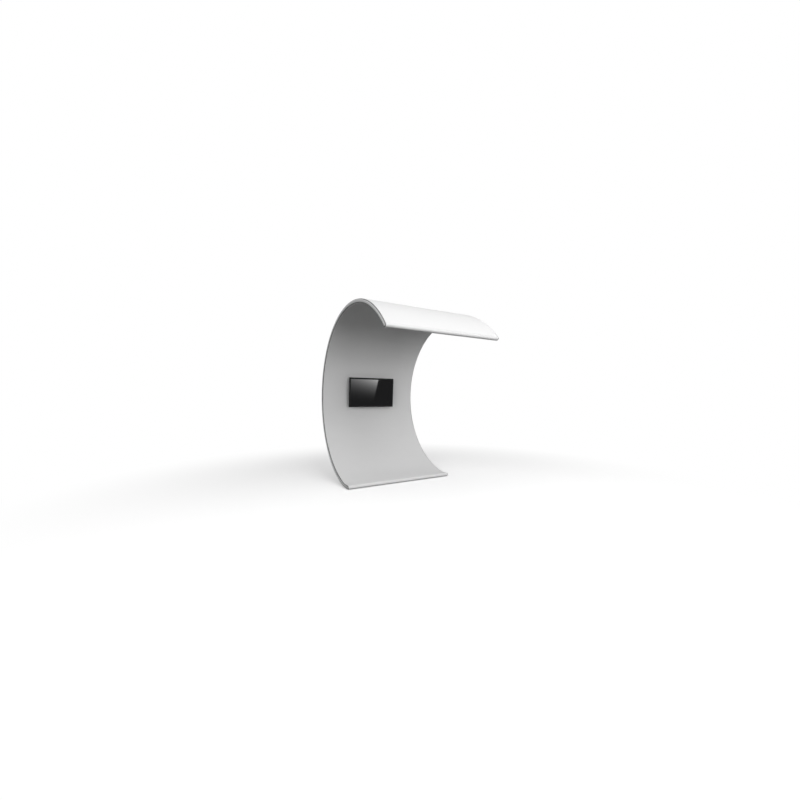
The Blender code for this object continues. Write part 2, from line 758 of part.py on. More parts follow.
def cloth_path(sweep, first, last):
    return sweep.turn((0, 0, 0), ARC_STEP * (last - first), abs(last - first))


def zip_ends():
    """Where the two panels stop on the zip's facet, as lengths from its lower corner."""
    middle = HALF_CHORD * (HOOP_RADIUS + CLOTH_OFFSET) / HOOP_RADIUS
    return middle - ZIP_SLOT / 2, middle + ZIP_SLOT / 2


def build_fabric():
    reach = HOOP_X - SEAM_GAP
    outer = Matrix.Translation((0, 0, -CLOTH_OFFSET))
    lower_end, upper_start = zip_ends()

    # The front panel starts at the zip, runs down to the toe and forward under it, wraps the
    # nose, climbs the concave face and wraps the lip.
    corner = ring_at(ARC_START + ARC_STEP * ZIP_FACET, 0) @ outer
    start = Matrix.Translation(along_facet(ZIP_FACET, lower_end)) @ corner
    front = Sweep(panel_row(reach), matrix=start)
    front.move(-along_facet(ZIP_FACET, lower_end))
    cloth_path(front, ZIP_FACET, 0)
    front.turn(TOE_CENTRE, -ARC_START, TOE_STEPS)
    front.move((0, NOSE_Y - TOE_RUN, 0))
    front.turn(NOSE, -math.pi, WRAP_STEPS)
    front.move((0, TOE_RUN - NOSE_Y, 0))
    front.turn(TOE_CENTRE, ARC_START, TOE_STEPS)
    cloth_path(front, 0, ARC_STEPS)
    wrap = math.pi - SEAM_GAP / CLOTH_OFFSET
    front.turn(LIP, -wrap, WRAP_STEPS)
    name = "fabric_front_panel"
    panel = part(name, front.mesh(name), "fabric", Matrix.Translation(ARC_CENTRE))
    thicken(panel, FABRIC_THICKNESS, 0)
    for i, (sx, sy) in enumerate(((-1, -1), (1, -1), (-1, 1), (1, 1))):
        hole = rod("stud_hole", STUD_DIAMETER / 2 + STUD_HOLE_CLEARANCE, FRONT_Z, HOLE_SIDES)
        spot = Matrix.Translation((sx * STUD_SPACING_X / 2, sy * STUD_SPACING_Y / 2, 0))
        drill = cutter(f"stud_hole_{i}", hole, SCREEN_FRAME @ spot @ aim((0, 0, 1)))
        combine(panel, drill, "DIFFERENCE")

    back_start = Matrix.Translation(along_facet(ZIP_FACET, upper_start)) @ corner
    chord = 2 * HALF_CHORD * (HOOP_RADIUS + CLOTH_OFFSET) / HOOP_RADIUS
    back = Sweep(panel_row(reach), matrix=back_start)
    back.move(along_facet(ZIP_FACET, chord - upper_start))
    cloth_path(back, ZIP_FACET + 1, ARC_STEPS)
    name = "fabric_back_panel"
    panel = part(name, back.mesh(name), "fabric", Matrix.Translation(ARC_CENTRE))
    thicken(panel, FABRIC_THICKNESS, 0)

    for word, side in SIDES.items():
        hole = riser_hole(word, side)
        combine(panel, hole, "DIFFERENCE")
        name = f"riser_patch_{word}"
        frame = facet_frame(LOWER_FACET, side * (WIDTH / 2 - FOOT_INSET))
        slope = ARC_START + ARC_STEP * (LOWER_FACET + 1 / 2)
        back = -CLOTH_FACE * math.tan(slope)
        below = Matrix.Translation((0, back, -CLOTH_FACE - SEAT_GAP - PATCH_THICKNESS))
        disc = rod(name, PATCH_DIAMETER / 2, PATCH_THICKNESS, 16)
        patch = part(name, disc, "fabric", frame @ below @ aim((0, 0, 1)))
        combine(patch, hole, "DIFFERENCE")
        build_gusset(word, side)


def build_gusset(word, side):
    """Half a tube of cloth along one hoop, turned round the corners at the nose and the lip."""
    turns = [math.pi * i / WRAP_STEPS for i in range(WRAP_STEPS + 1)]
    row = [
        (side * CLOTH_OFFSET * math.sin(t), 0, CLOTH_OFFSET * math.cos(t)) for t in turns
    ]
    x = Vector((side * HOOP_X, 0, 0))
    quarter = Matrix.Rotation(-side * math.pi / 2, 4, "Z")
    sweep = Sweep(row, matrix=Matrix.Translation(NOSE + x) @ quarter)
    corner_steps = WRAP_STEPS // 2
    sweep.turn(NOSE + x, side * math.pi / 2, corner_steps, (0, 0, 1))
    sweep.move((0, TOE_RUN - NOSE_Y, 0))
    sweep.turn(TOE_CENTRE, ARC_START, TOE_STEPS)
    cloth_path(sweep, 0, ARC_STEPS)
    outward = LIP.normalized()
    sweep.turn(LIP + x, -side * math.pi / 2, corner_steps, outward)
    name = f"fabric_gusset_{word}"
    gusset = part(name, sweep.mesh(name), "fabric", Matrix.Translation(ARC_CENTRE))
    thicken(gusset, FABRIC_THICKNESS, 0)


def build_zip():
    frame = facet_frame(ZIP_FACET)
    under = -CLOTH_FACE - SEAT_GAP
    half_length = HOOP_X - ZIP_END_INSET
    inner = TEETH_GAP / 2
    thick = under - TAPE_THICKNESS
    middle = under - TAPE_THICKNESS / 2
    for word, sign in (("lower", -1), ("upper", 1)):
        outline = [
            (inner, middle + TEETH_HEIGHT / 2),
            (inner + TEETH_WIDTH, middle + TEETH_HEIGHT / 2),
            (inner + TEETH_WIDTH, under),
            (inner + TAPE_WIDTH, under),
            (inner + TAPE_WIDTH, thick),
            (inner + TEETH_WIDTH, thick),
            (inner + TEETH_WIDTH, middle - TEETH_HEIGHT / 2),
            (inner, middle - TEETH_HEIGHT / 2),
        ]
        name = f"zip_tape_{word}"
        mesh = prism(name, [(sign * a, b) for a, b in outline], 2 * half_length)
        part(name, mesh, "tape", frame @ ACROSS, smooth=False)

    # The slider's two plates lie over and under the teeth, joined by a web in the gap.
    plate_z = TEETH_HEIGHT / 2 + SLIDER_CLEARANCE
    spot = frame @ Matrix.Translation((half_length - SLIDER_END_INSET, 0, middle))
    body = plate("zip_slider", SLIDER_LENGTH, SLIDER_WIDTH, SLIDER_PLATE, SLIDER_WIDTH / 5, 2)
    body.transform(Matrix.Translation((0, 0, -plate_z - SLIDER_PLATE)))
    slider = part("zip_slider", body, "steel", spot, smooth=False)
    inside = plate("slider_inside", SLIDER_LENGTH, SLIDER_WIDTH, SLIDER_PLATE, SLIDER_WIDTH / 5, 2)
    inside.transform(Matrix.Translation((0, 0, plate_z)))
    combine(slider, cutter("slider_inside", inside, spot), "UNION")
    web = plate("slider_web", SLIDER_LENGTH / 2, SLIDER_WEB, 2 * plate_z + SLIDER_PLATE)
    web.transform(Matrix.Translation((0, 0, -plate_z - SLIDER_PLATE / 2)))
    combine(slider, cutter("slider_web", web, spot), "UNION")
    low = plate_z + SLIDER_PLATE
    bail_width = BAIL_WIDTH + 2 * BAIL_THICKNESS
    bail_outer = plate("bail", bail_width, SLIDER_WEB * 2, BAIL_HEIGHT + SLIDER_PLATE / 2)
    bail_outer.transform(Matrix.Translation((0, 0, -low - BAIL_HEIGHT)))
    combine(slider, cutter("bail", bail_outer, spot), "UNION")
    eye = plate("bail_eye", BAIL_WIDTH, SLIDER_WEB * 2 + 2 * OVERRUN, BAIL_HEIGHT - BAIL_THICKNESS)
    eye.transform(Matrix.Translation((0, 0, -low - BAIL_HEIGHT + BAIL_THICKNESS)))
    combine(slider, cutter("bail_eye", eye, spot), "DIFFERENCE")

    # The pull hangs plumb from the bail: a tab with an eye round the bail's lower bar.
    bar_z = -low - BAIL_HEIGHT + BAIL_THICKNESS / 2
    slope = ARC_START + ARC_STEP * (ZIP_FACET + 1 / 2)
    pivot = spot @ Matrix.Translation((0, 0, bar_z)) @ Matrix.Rotation(-slope, 4, "X")
    bar_half = math.hypot(SLIDER_WEB, BAIL_THICKNESS / 2)
    outline = rounded(PULL_WIDTH, PULL_LENGTH, PULL_WIDTH / 4)
    top_band = bar_half + PULL_CLEARANCE + PULL_THICKNESS / 2
    tab = prism("zip_pull", [(a, b + top_band - PULL_LENGTH / 2) for a, b in outline], PULL_THICKNESS)
    pull = part("zip_pull", tab, "steel", pivot @ ACROSS, smooth=False)
    eye_size = 2 * (bar_half + PULL_CLEARANCE)
    window = plate("pull_eye", eye_size, eye_size, PULL_THICKNESS + 2 * OVERRUN)
    window.transform(Matrix.Translation((0, 0, -PULL_THICKNESS / 2 - OVERRUN)))
    combine(pull, cutter("pull_eye", window, pivot @ ACROSS), "DIFFERENCE")


def rounded(width, height, radius, segments=3):
    """Corner points of a rounded rectangle centred on the origin, anticlockwise."""
    points = []
    for i, (sx, sy) in enumerate(((1, 1), (-1, 1), (-1, -1), (1, -1))):
        for j in range(segments + 1):
            turn = math.pi / 2 * (i + j / segments)
            points.append(
                (
                    sx * (width / 2 - radius) + radius * math.cos(turn),
                    sy * (height / 2 - radius) + radius * math.sin(turn),
                )
            )
    return points


def rail_clamp(name, frame):
    """A strap bent round the back of one rail, its two ears flat against the backing plate."""
    inner = SPREADER_RADIUS + SEAT_GAP
    outer = inner + CLAMP_WALL
    seat = SPREADER_RADIUS - CLAMP_SPLIT
    turns = [math.pi * i / CLAMP_STEPS for i in range(CLAMP_STEPS + 1)]
    low = seat - CLAMP_WALL
    outline = [(outer + CLAMP_EAR, seat), (inner, seat)]
    outline += [(inner * math.cos(t), -inner * math.sin(t)) for t in turns]
    outline += [(-inner, seat), (-outer - CLAMP_EAR, seat)]
    outline += [(-outer - CLAMP_EAR, low), (-outer, low)]
    outline += [(-outer * math.cos(t), -outer * math.sin(t)) for t in turns]
    outline += [(outer, low), (outer + CLAMP_EAR, low)]
    mesh = prism(name, outline, CLAMP_LENGTH)
    return part(name, mesh, "powder", frame @ ACROSS, smooth=False)


def build_bracket():
    backing_z = SPREADER_RADIUS + SEAT_GAP
    name = "mount_backing_plate"
    mesh = plate(name, BACKING_WIDTH, BACKING_HEIGHT, BACKING_THICKNESS, BACKING_CORNER)
    backing = part(name, mesh, "powder", SCREEN_FRAME @ Matrix.Translation((0, 0, backing_z)))
    window = plate(
        "backing_window",
        BACKING_WINDOW_WIDTH,
        BACKING_WINDOW_HEIGHT,
        BACKING_THICKNESS + 2 * OVERRUN,
        BACKING_CORNER,
    )
    low = SCREEN_FRAME @ Matrix.Translation((0, 0, backing_z - OVERRUN))
    combine(backing, cutter("backing_window", window, low), "DIFFERENCE")
    shoulder = FRONT_Z - SEAT_GAP - backing_z - BACKING_THICKNESS / 2
    for i, (sx, sy) in enumerate(((-1, -1), (1, -1), (-1, 1), (1, 1))):
        spot = Matrix.Translation(
            (sx * STUD_SPACING_X / 2, sy * STUD_SPACING_Y / 2, backing_z + BACKING_THICKNESS / 2)
        )
        stud = Sweep(circle(STUD_DIAMETER / 2, HOLE_SIDES), True).move((0, shoulder, 0))
        stud.shrink(STUD_THREAD / STUD_DIAMETER)
        stud.move((0, SEAT_GAP + FRONT_THICKNESS + STUD_END, 0))
        frame = SCREEN_FRAME @ spot @ aim((0, 0, 1))
        combine(backing, cutter(f"stud_{i}", stud.cap().mesh("stud"), frame), "UNION")
    for word, sign in (("lower", -1), ("upper", 1)):
        rail_clamp(f"rail_clamp_{word}", rail_frame(sign * RAIL_PITCH / 2))

    name = "mount_front_plate"
    mesh = plate(name, FRONT_WIDTH, FRONT_HEIGHT, FRONT_THICKNESS, FRONT_CORNER)
    front = part(name, mesh, "powder", SCREEN_FRAME @ Matrix.Translation((0, 0, FRONT_Z)))
    below = Matrix.Translation((0, 0, FRONT_Z - OVERRUN))
    window = plate(
        "front_window",
        FRONT_WINDOW_WIDTH,
        FRONT_WINDOW_HEIGHT,
        FRONT_THICKNESS + 2 * OVERRUN,
        FRONT_CORNER,
    )
    combine(front, cutter("front_window", window, SCREEN_FRAME @ below), "DIFFERENCE")
    for i, (sx, sy) in enumerate(((-1, -1), (1, -1), (-1, 1), (1, 1))):
        radius = STUD_THREAD / 2 + SCREW_CLEARANCE
        hole = rod("front_hole", radius, FRONT_THICKNESS + 2 * OVERRUN, HOLE_SIDES)
        spot = Matrix.Translation((sx * STUD_SPACING_X / 2, sy * STUD_SPACING_Y / 2, 0))
        drill = cutter(f"front_hole_{i}", hole, SCREEN_FRAME @ below @ spot @ aim((0, 0, 1)))
        combine(front, drill, "DIFFERENCE")
    tip = HINGE_Z + EAR_MARGIN
    root = FRONT_Z + FRONT_THICKNESS / 2
    ear = [(-EAR_HALF_ROOT, root), (EAR_HALF_ROOT, root), (EAR_HALF_TIP, tip), (-EAR_HALF_TIP, tip)]
    ear_x = FRONT_WIDTH / 2 - EAR_THICKNESS / 2
    hinge = empty("screen_hinge", SCREEN_FRAME @ Matrix.Translation((0, 0, HINGE_Z)))
    tilted = empty("screen_tilt", Matrix.Rotation(SCREEN_REST_TILT, 4, "X"), hinge)
    for word, side in SIDES.items():
        mesh = prism(f"ear_{word}", ear, EAR_THICKNESS)
        spot = Matrix.Translation((side * ear_x, 0, 0))
        combine(front, cutter(f"ear_{word}", mesh, SCREEN_FRAME @ spot @ ACROSS), "UNION")
        pin_length = 2 * EAR_THICKNESS + 2 * OVERRUN
        pin = rod(f"ear_hole_{word}", TILT_SCREW / 2 + SCREW_CLEARANCE, pin_length)
        hole_spot = Matrix.Translation((side * (ear_x - EAR_THICKNESS - OVERRUN), 0, HINGE_Z))
        frame = SCREEN_FRAME @ hole_spot @ aim((side, 0, 0))
        combine(front, cutter(f"ear_hole_{word}", pin, frame), "DIFFERENCE")
        build_arm(word, side, tilted)
        inside = FRONT_WIDTH / 2 - EAR_THICKNESS - ARM_GAP - ARM_THICKNESS
        outside = FRONT_WIDTH / 2 + TILT_KNOB_GAP
        knob(
            f"tilt_knob_{word}",
            TILT_KNOB_DIAMETER,
            TILT_KNOB_THICKNESS,
            TILT_SCREW,
            outside - inside + OVERRUN,
            Matrix.Translation((side * outside, 0, 0)) @ aim((side, 0, 0)),
            hinge,
        )
    build_screen(tilted)


def screen_depth(below_face):
    """Height above the hinge line, in the screen's own frame, of a plane this far behind its face."""
    return SCREEN_FACE - HINGE_Z - below_face


def build_arm(word, side, parent):
    """An angle-section arm: a flange screwed to the screen's bosses and a web down to the hinge."""
    web_x = side * (FRONT_WIDTH / 2 - EAR_THICKNESS - ARM_GAP - ARM_THICKNESS / 2)
    flange_top = screen_depth(SCREEN_DEPTH) - SEAT_GAP
    flange_low = flange_top - ARM_THICKNESS
    centre_x = web_x + side * (ARM_THICKNESS / 2) - side * ARM_WIDTH / 2
    name = f"mount_arm_{word}"
    mesh = plate(name, ARM_WIDTH, ARM_HEIGHT, ARM_THICKNESS)
    mesh.transform(Matrix.Translation((centre_x, 0, flange_low)))
    arm = part(name, mesh, "powder", parent=parent, smooth=False)
    middle = flange_low + ARM_THICKNESS / 2
    outline = [
        (-ARM_HEIGHT / 2, middle),
        (-ARM_HEIGHT / 2, flange_low - ARM_TIP_DEPTH / 4),
        (-ARM_HEIGHT / 4, flange_low - ARM_TIP_DEPTH),
        (-ARM_NOSE_HALF, -ARM_NOSE_DEPTH),
        (ARM_NOSE_HALF, -ARM_NOSE_DEPTH),
        (ARM_HEIGHT / 4, flange_low - ARM_TIP_DEPTH),
        (ARM_HEIGHT / 2, flange_low - ARM_TIP_DEPTH / 4),
        (ARM_HEIGHT / 2, middle),
    ]
    web = prism(f"{name}_web", outline, ARM_THICKNESS)
    spot = Matrix.Translation((web_x, 0, 0)) @ ACROSS
    combine(arm, cutter(f"{name}_web", web, spot, parent), "UNION")
    pin = rod(f"{name}_pin_hole", TILT_SCREW / 2 + SCREW_CLEARANCE, ARM_THICKNESS + 2 * OVERRUN)
    start = Matrix.Translation((web_x - side * (ARM_THICKNESS / 2 + OVERRUN), 0, 0))
    combine(arm, cutter(f"{name}_pin_hole", pin, start @ aim((side, 0, 0)), parent), "DIFFERENCE")
    for end in (-1, 1):
        hole = rod("vesa_hole", VESA_SLOT_DIAMETER / 2, ARM_THICKNESS + 2 * OVERRUN, HOLE_SIDES)
        spot = Matrix.Translation((side * VESA_PITCH / 2, end * VESA_PITCH / 2, flange_low - OVERRUN))
        drill = cutter(f"{name}_vesa_{end + 1}", hole, spot @ aim((0, 0, 1)), parent)
        combine(arm, drill, "DIFFERENCE")


def build_screen(parent):
    face = screen_depth(0)
    opening_width = SCREEN_WIDTH - 2 * BEZEL_WIDTH
    opening_height = SCREEN_HEIGHT - 2 * BEZEL_WIDTH

    # Bezel: a shallow tray with a sloped opening, hollow behind its lip.
    name = "screen_bezel"
    mesh = plate(name, SCREEN_WIDTH, SCREEN_HEIGHT, BEZEL_DEPTH, SCREEN_CORNER)
    mesh.transform(Matrix.Translation((0, 0, face - BEZEL_DEPTH)))
    bezel = part(name, mesh, "plastic", parent=parent, smooth=False)
    pocket = plate(
        "bezel_pocket",
        SCREEN_WIDTH - 2 * BEZEL_WALL,
        SCREEN_HEIGHT - 2 * BEZEL_WALL,
        BEZEL_DEPTH - BEZEL_LIP + OVERRUN,
        SCREEN_CORNER - BEZEL_WALL,
    )
    pocket.transform(Matrix.Translation((0, 0, face - BEZEL_DEPTH - OVERRUN)))
    combine(bezel, cutter("bezel_pocket", pocket, parent=parent), "DIFFERENCE")
    slope = BEZEL_LIP * 2
    bm = bmesh.new()
    bmesh.ops.create_cube(bm, size=1.0)
    bmesh.ops.scale(bm, verts=bm.verts, vec=(opening_width, opening_height, 2 * slope))
    for vert in bm.verts:
        if vert.co.z > 0:
            vert.co.x += math.copysign(BEZEL_SLOPE, vert.co.x)
            vert.co.y += math.copysign(BEZEL_SLOPE, vert.co.y)
    bmesh.ops.translate(bm, verts=bm.verts, vec=(0, 0, face))
    opening = cutter("bezel_opening", mesh_of(bm, "bezel_opening"), parent=parent)
    combine(bezel, opening, "DIFFERENCE")

    name = "screen_panel"
    panel_width = opening_width + 2 * PANEL_LAP
    mesh = plate(name, panel_width, opening_height + 2 * PANEL_LAP, PANEL_THICKNESS)
    mesh.transform(Matrix.Translation((0, 0, face - BEZEL_LIP - SEAT_GAP - PANEL_THICKNESS)))
    part(name, mesh, "glass", parent=parent, smooth=False)

    cover = build_cover(parent, face)

    # Power button on the flat rim behind the lower right corner.
    name = "screen_power_button"
    button_x = SCREEN_WIDTH / 2 - POWER_BUTTON_INSET_X
    button_y = POWER_BUTTON_INSET_Y - SCREEN_HEIGHT / 2
    spot = Matrix.Translation((button_x, button_y, face - COVER_EDGE_DEPTH))
    rearward = spot @ Matrix.Rotation(math.pi, 4, "X")
    seat = -COVER_WALL - SEAT_GAP
    radius = POWER_BUTTON_DIAMETER / 2
    round_off = POWER_BUTTON_PROUD / 4
    profile = (
        (0, POWER_BUTTON_PROUD),
        (radius - round_off, POWER_BUTTON_PROUD),
        (radius, POWER_BUTTON_PROUD - round_off),
        (radius, seat),
        (POWER_BUTTON_FLANGE / 2, seat),
        (POWER_BUTTON_FLANGE / 2, seat - POWER_BUTTON_TRAVEL),
        (0, seat - POWER_BUTTON_TRAVEL),
    )
    turned(name, profile, "plastic", rearward, parent)
    hole = rod("power_hole", radius + 2 * SEAT_GAP, COVER_WALL + 2 * OVERRUN)
    forward = spot @ Matrix.Translation((0, 0, -OVERRUN)) @ aim((0, 0, 1))
    combine(cover, cutter("power_hole", hole, forward, parent), "DIFFERENCE")

    # Power inlet in the flat of the bulge, open to the back.
    name = "screen_power_inlet"
    rear = face - SCREEN_DEPTH + VESA_BOSS_HEIGHT
    block = plate(name, INLET_WIDTH, INLET_HEIGHT, INLET_DEPTH, INLET_HEIGHT / 4)
    centre = Matrix.Translation((INLET_X, INLET_Y, rear))
    inlet = part(name, block, "plastic", centre, parent, smooth=False)
    cavity = plate(
        "inlet_cavity",
        INLET_WIDTH - 2 * INLET_CAVITY_WALL,
        INLET_HEIGHT - 2 * INLET_CAVITY_WALL,
        INLET_CAVITY_DEPTH + OVERRUN,
        INLET_HEIGHT / 6,
    )
    low = Matrix.Translation((0, 0, -OVERRUN))
    combine(inlet, cutter("inlet_cavity", cavity, centre @ low, parent), "DIFFERENCE")
    seat_hole = plate(
        "inlet_hole",
        INLET_WIDTH + 2 * INLET_CLEARANCE,
        INLET_HEIGHT + 2 * INLET_CLEARANCE,
        COVER_WALL + 2 * OVERRUN,
        INLET_HEIGHT / 4,
    )
    combine(cover, cutter("inlet_hole", seat_hole, centre @ low, parent), "DIFFERENCE")


def build_cover(parent, face):
    """The moulded rear housing: a thin rim, a shoulder, and a deeper bulge with vents and bosses."""
    name = "screen_rear_cover"
    width = SCREEN_WIDTH - 2 * COVER_INSET
    height = SCREEN_HEIGHT - 2 * COVER_INSET
    bulge = SCREEN_DEPTH - VESA_BOSS_HEIGHT - COVER_EDGE_DEPTH
    corner = SCREEN_CORNER
    levels = (
        (0, -BEZEL_DEPTH - SEAT_GAP),
        (0, COVER_SHOULDER - COVER_EDGE_DEPTH),
        (COVER_SHOULDER, -COVER_EDGE_DEPTH),
        (BULGE_INSET, -COVER_EDGE_DEPTH),
        (BULGE_INSET + BULGE_SLOPE, -COVER_EDGE_DEPTH - bulge),
    )
    rings = [
        [(x, y, face + z) for x, y in rounded(width - 2 * inset, height - 2 * inset, corner, 2)]
        for inset, z in levels
    ]
    cover = part(name, loft(name, rings), "plastic", parent=parent, smooth=False)
    thicken(cover, COVER_WALL, -1)
    rear = face - SCREEN_DEPTH
    for sx in (-1, 1):
        for sy in (-1, 1):
            boss = rod("vesa_boss", VESA_BOSS / 2, VESA_BOSS_HEIGHT + COVER_WALL / 2, 12)
            spot = Matrix.Translation((sx * VESA_PITCH / 2, sy * VESA_PITCH / 2, rear))
            stand = cutter(f"vesa_boss_{sx + 1}_{sy + 1}", boss, spot @ aim((0, 0, 1)), parent)
            combine(cover, stand, "UNION")
    row_y = height / 2 - BULGE_INSET - BULGE_SLOPE - VENT_HEIGHT * 3
    for i in range(VENT_COUNT):
        x = (i - (VENT_COUNT - 1) / 2) * VENT_PITCH
        slot = plate("vent", VENT_WIDTH, VENT_HEIGHT, COVER_WALL + 2 * OVERRUN)
        spot = Matrix.Translation((x, row_y, rear + VESA_BOSS_HEIGHT - OVERRUN))
        combine(cover, cutter(f"vent_{i}", slot, spot, parent), "DIFFERENCE")
    return cover


build_hoops()
build_spreaders()
for side_word, side_sign in SIDES.items():
    build_foot(side_word, side_sign)
build_fabric()
build_zip()
build_bracket()
bpy.context.view_layer.update()
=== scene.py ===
"""Looks of a curved tension-fabric display wall with a canopy and a screen on a tilting bracket.

Laid out as a Blender add-on and run as a script. Metres, X is the width, Y points to the back and
Z is up. The CAD nodes stay where they are. The cloth, its seams, the zip and the small fixings are
worked out here, and every surface gets its finish.
"""

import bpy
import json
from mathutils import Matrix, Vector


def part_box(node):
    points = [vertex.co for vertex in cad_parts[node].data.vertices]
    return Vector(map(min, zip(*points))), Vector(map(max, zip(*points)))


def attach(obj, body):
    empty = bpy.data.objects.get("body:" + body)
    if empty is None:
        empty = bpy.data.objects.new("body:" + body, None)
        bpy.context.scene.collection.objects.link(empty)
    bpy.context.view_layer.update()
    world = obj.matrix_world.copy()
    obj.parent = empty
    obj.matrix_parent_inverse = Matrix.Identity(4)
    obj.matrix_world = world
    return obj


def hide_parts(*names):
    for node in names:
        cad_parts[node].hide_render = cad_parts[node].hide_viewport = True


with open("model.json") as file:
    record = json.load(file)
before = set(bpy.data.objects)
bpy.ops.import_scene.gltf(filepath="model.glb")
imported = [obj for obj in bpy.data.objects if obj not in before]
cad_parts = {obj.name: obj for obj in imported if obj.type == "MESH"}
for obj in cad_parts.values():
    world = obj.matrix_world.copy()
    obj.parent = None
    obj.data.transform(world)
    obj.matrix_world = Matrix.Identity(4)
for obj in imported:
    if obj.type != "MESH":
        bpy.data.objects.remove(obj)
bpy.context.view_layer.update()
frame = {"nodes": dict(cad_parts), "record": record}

import json
import math

import bmesh
import bpy
import numpy as np
from mathutils import Vector

bl_info = {
    "name": "Tension fabric display wall",
    "version": (1, 0, 0),
    "blender": (4, 5, 0),
    "location": "View3D > Sidebar > Display wall",
    "description": "Cloth, seams, zip, fixings and finishes of a curved display wall",
    "category": "Object",
}

SIDES = {"left": -1, "right": 1}
CORNERS = [(x, y) for x in (-1, 1) for y in (-1, 1)]

# The line that hoops and cloth share, seen from the side. Turns are measured about the arc's
# centre from straight down towards the back.
ARC_RADIUS = 1.154
ARC_SINK = 0.0203
TOE_RADIUS = 0.500
NOSE_SETBACK = 0.076
LIP_TURN = math.radians(232.7)
ARC_PARTS = 32
EDGE = 0.0263
CLOTH = 0.0010
SEAT_GAP = 0.0003
OFFSET = EDGE - CLOTH / 2
CENTRE_Z = ARC_RADIUS + EDGE - ARC_SINK
TOE_DROP = CENTRE_Z - EDGE - TOE_RADIUS
TOE_RUN = math.sqrt((ARC_RADIUS - TOE_RADIUS) ** 2 - TOE_DROP**2)
START = math.atan2(TOE_RUN, TOE_DROP)
END = LIP_TURN - EDGE / ARC_RADIUS
PART_TURN = (END - START) / ARC_PARTS
CENTRE_Y = (EDGE - ARC_RADIUS * math.sin(END) - ARC_RADIUS - EDGE) / 2
CENTRE = np.array((CENTRE_Y, CENTRE_Z))
TOE = CENTRE + (TOE_RUN, -TOE_DROP)
TOE_FOOT = TOE - (0, TOE_RADIUS)
NOSE = CENTRE + (NOSE_SETBACK + EDGE, EDGE - CENTRE_Z)
LIP = CENTRE + (ARC_RADIUS * math.sin(END), -ARC_RADIUS * math.cos(END))
SAGITTA = ARC_RADIUS * (1 - math.cos(PART_TURN / 2))
ROUND_SIDE = ARC_RADIUS + OFFSET
HOLLOW_SIDE = ARC_RADIUS - OFFSET - SAGITTA
HOOP_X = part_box("fabric_front_panel")[1].x + SEAT_GAP

# The cloth: how it is cut, and where it leaves the tubes.
STRETCH = 1.02
SEAM_TURN = math.radians(46)
NOSE_SLOPE, LANDING = math.radians(7), math.radians(27)
BRIDGE_EASE = 0.25
CLEAR_BEFORE, CLEAR_OVER = 0.03, 0.12
WALL_DRAWN_TO, CANOPY_DRAWN_FROM, BACK_DRAWN_FROM = 1.25, 2.15, 1.0
ARC_STEPS = 300
COLUMNS = 51
BEND_STEPS = 12
WRAP_STEPS = 20
BEND = np.linspace(0, START, BEND_STEPS)
AROUND_TUBE = np.linspace(math.pi / 2, SEAM_TURN, 7)[1:]

# The zip between the panels, and the risers through the back panel with their patches.
ZIP_SLOT = 0.0140
ZIP_TURN = START + PART_TURN * 1.5
ZIP_HALF_TURN = ZIP_SLOT / 2 / ROUND_SIDE
ZIP_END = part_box("zip_tape_lower")[1].x
TAB_WIDTH, TAB_LENGTH, TAB_SEAM_SHARE = 0.044, 0.026, 0.40
TAB_HUMP, TAB_HUMP_RAMP, TAB_HUMP_FALL = 0.0019, 0.4, 0.010
RISER = sum(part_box("foot_riser_right"), Vector()) / 2
RISER_TURN = math.asin((RISER.y - CENTRE_Y) / ROUND_SIDE)
RISER_HOLE, RISER_HOLE_ALONG, RISER_MIDDLE = 0.021, 0.0235, 0.25
HOLE_REACH = 0.02
PATCH_RADIUS, PATCH_BORE, PATCH_SEAM, PATCH_EASE = 0.040, 0.0176, 0.0362, 0.022
PATCH_RINGS = np.array((PATCH_BORE, 0.020, 0.025, 0.030, 0.035, 0.0385, PATCH_RADIUS))
PATCH_SIDES, PATCH_STITCHES = 48, 60
ON_CLOTH, PATCH_EDGE_ON_CLOTH = CLOTH * 1.15, CLOTH * 0.9
TAB_ON_TUBE = CLOTH * np.array((1.15, 1.15, 1.15, 1.15, 1.10, 0.70))
PATCH_STITCH, PATCH_STITCH_RISE = 0.0014, CLOTH * 1.65
TAB_STITCH, TAB_STITCH_RISE = 0.0012, CLOTH * 0.6

# The plane of the rails, by its turn about the arc's centre and its depth inside the hoops' line.
# The bracket, the hinge and the screen's face follow as depths from that plane.
SCREEN_TURN = math.radians(94.7)
RAIL_SINK = ARC_RADIUS - math.sqrt(ARC_RADIUS**2 - 0.100**2)
PLATE = 0.003
FRONT_FACE = 0.0335 - RAIL_SINK + PLATE
STUD_X, STUD_Y = 0.085, 0.065
STUDS = [(sx * STUD_X, sy * STUD_Y) for sx, sy in CORNERS]
STUD_HOLE = 0.0062
HINGE_DEPTH = 0.0515 - RAIL_SINK
REST_TILT = math.radians(-1.2)
FACE_DEPTH = 0.1068 - RAIL_SINK
SCREEN_DEPTH = 0.042
COVER_EDGE = 0.018
FACE = FACE_DEPTH - HINGE_DEPTH
ARM_FLANGE = FACE - SCREEN_DEPTH - PLATE - SEAT_GAP
SCREW_PITCH = 0.200
COVER_SCREWS = [(x, y) for y in (-0.205, 0.205) for x in (-0.34, -0.12, 0.12, 0.34)]

# Seams: where their back lies in the cloth, and their stitches, as shares of the seam's width and
# height and of the stitch pitch.
SEAM_FOOT, SEAM_BACK, BACK_SHARE = CLOTH * 0.4, CLOTH * 0.1, 0.35
THREAD_RADIUS = 0.0003
ROW_SHARE, ROW_RISE, STITCH_SHARE = 0.27, 0.85, 0.36
LIP_WIDTH_SHARE, LIP_HEIGHT_SHARE = 0.6, 0.25

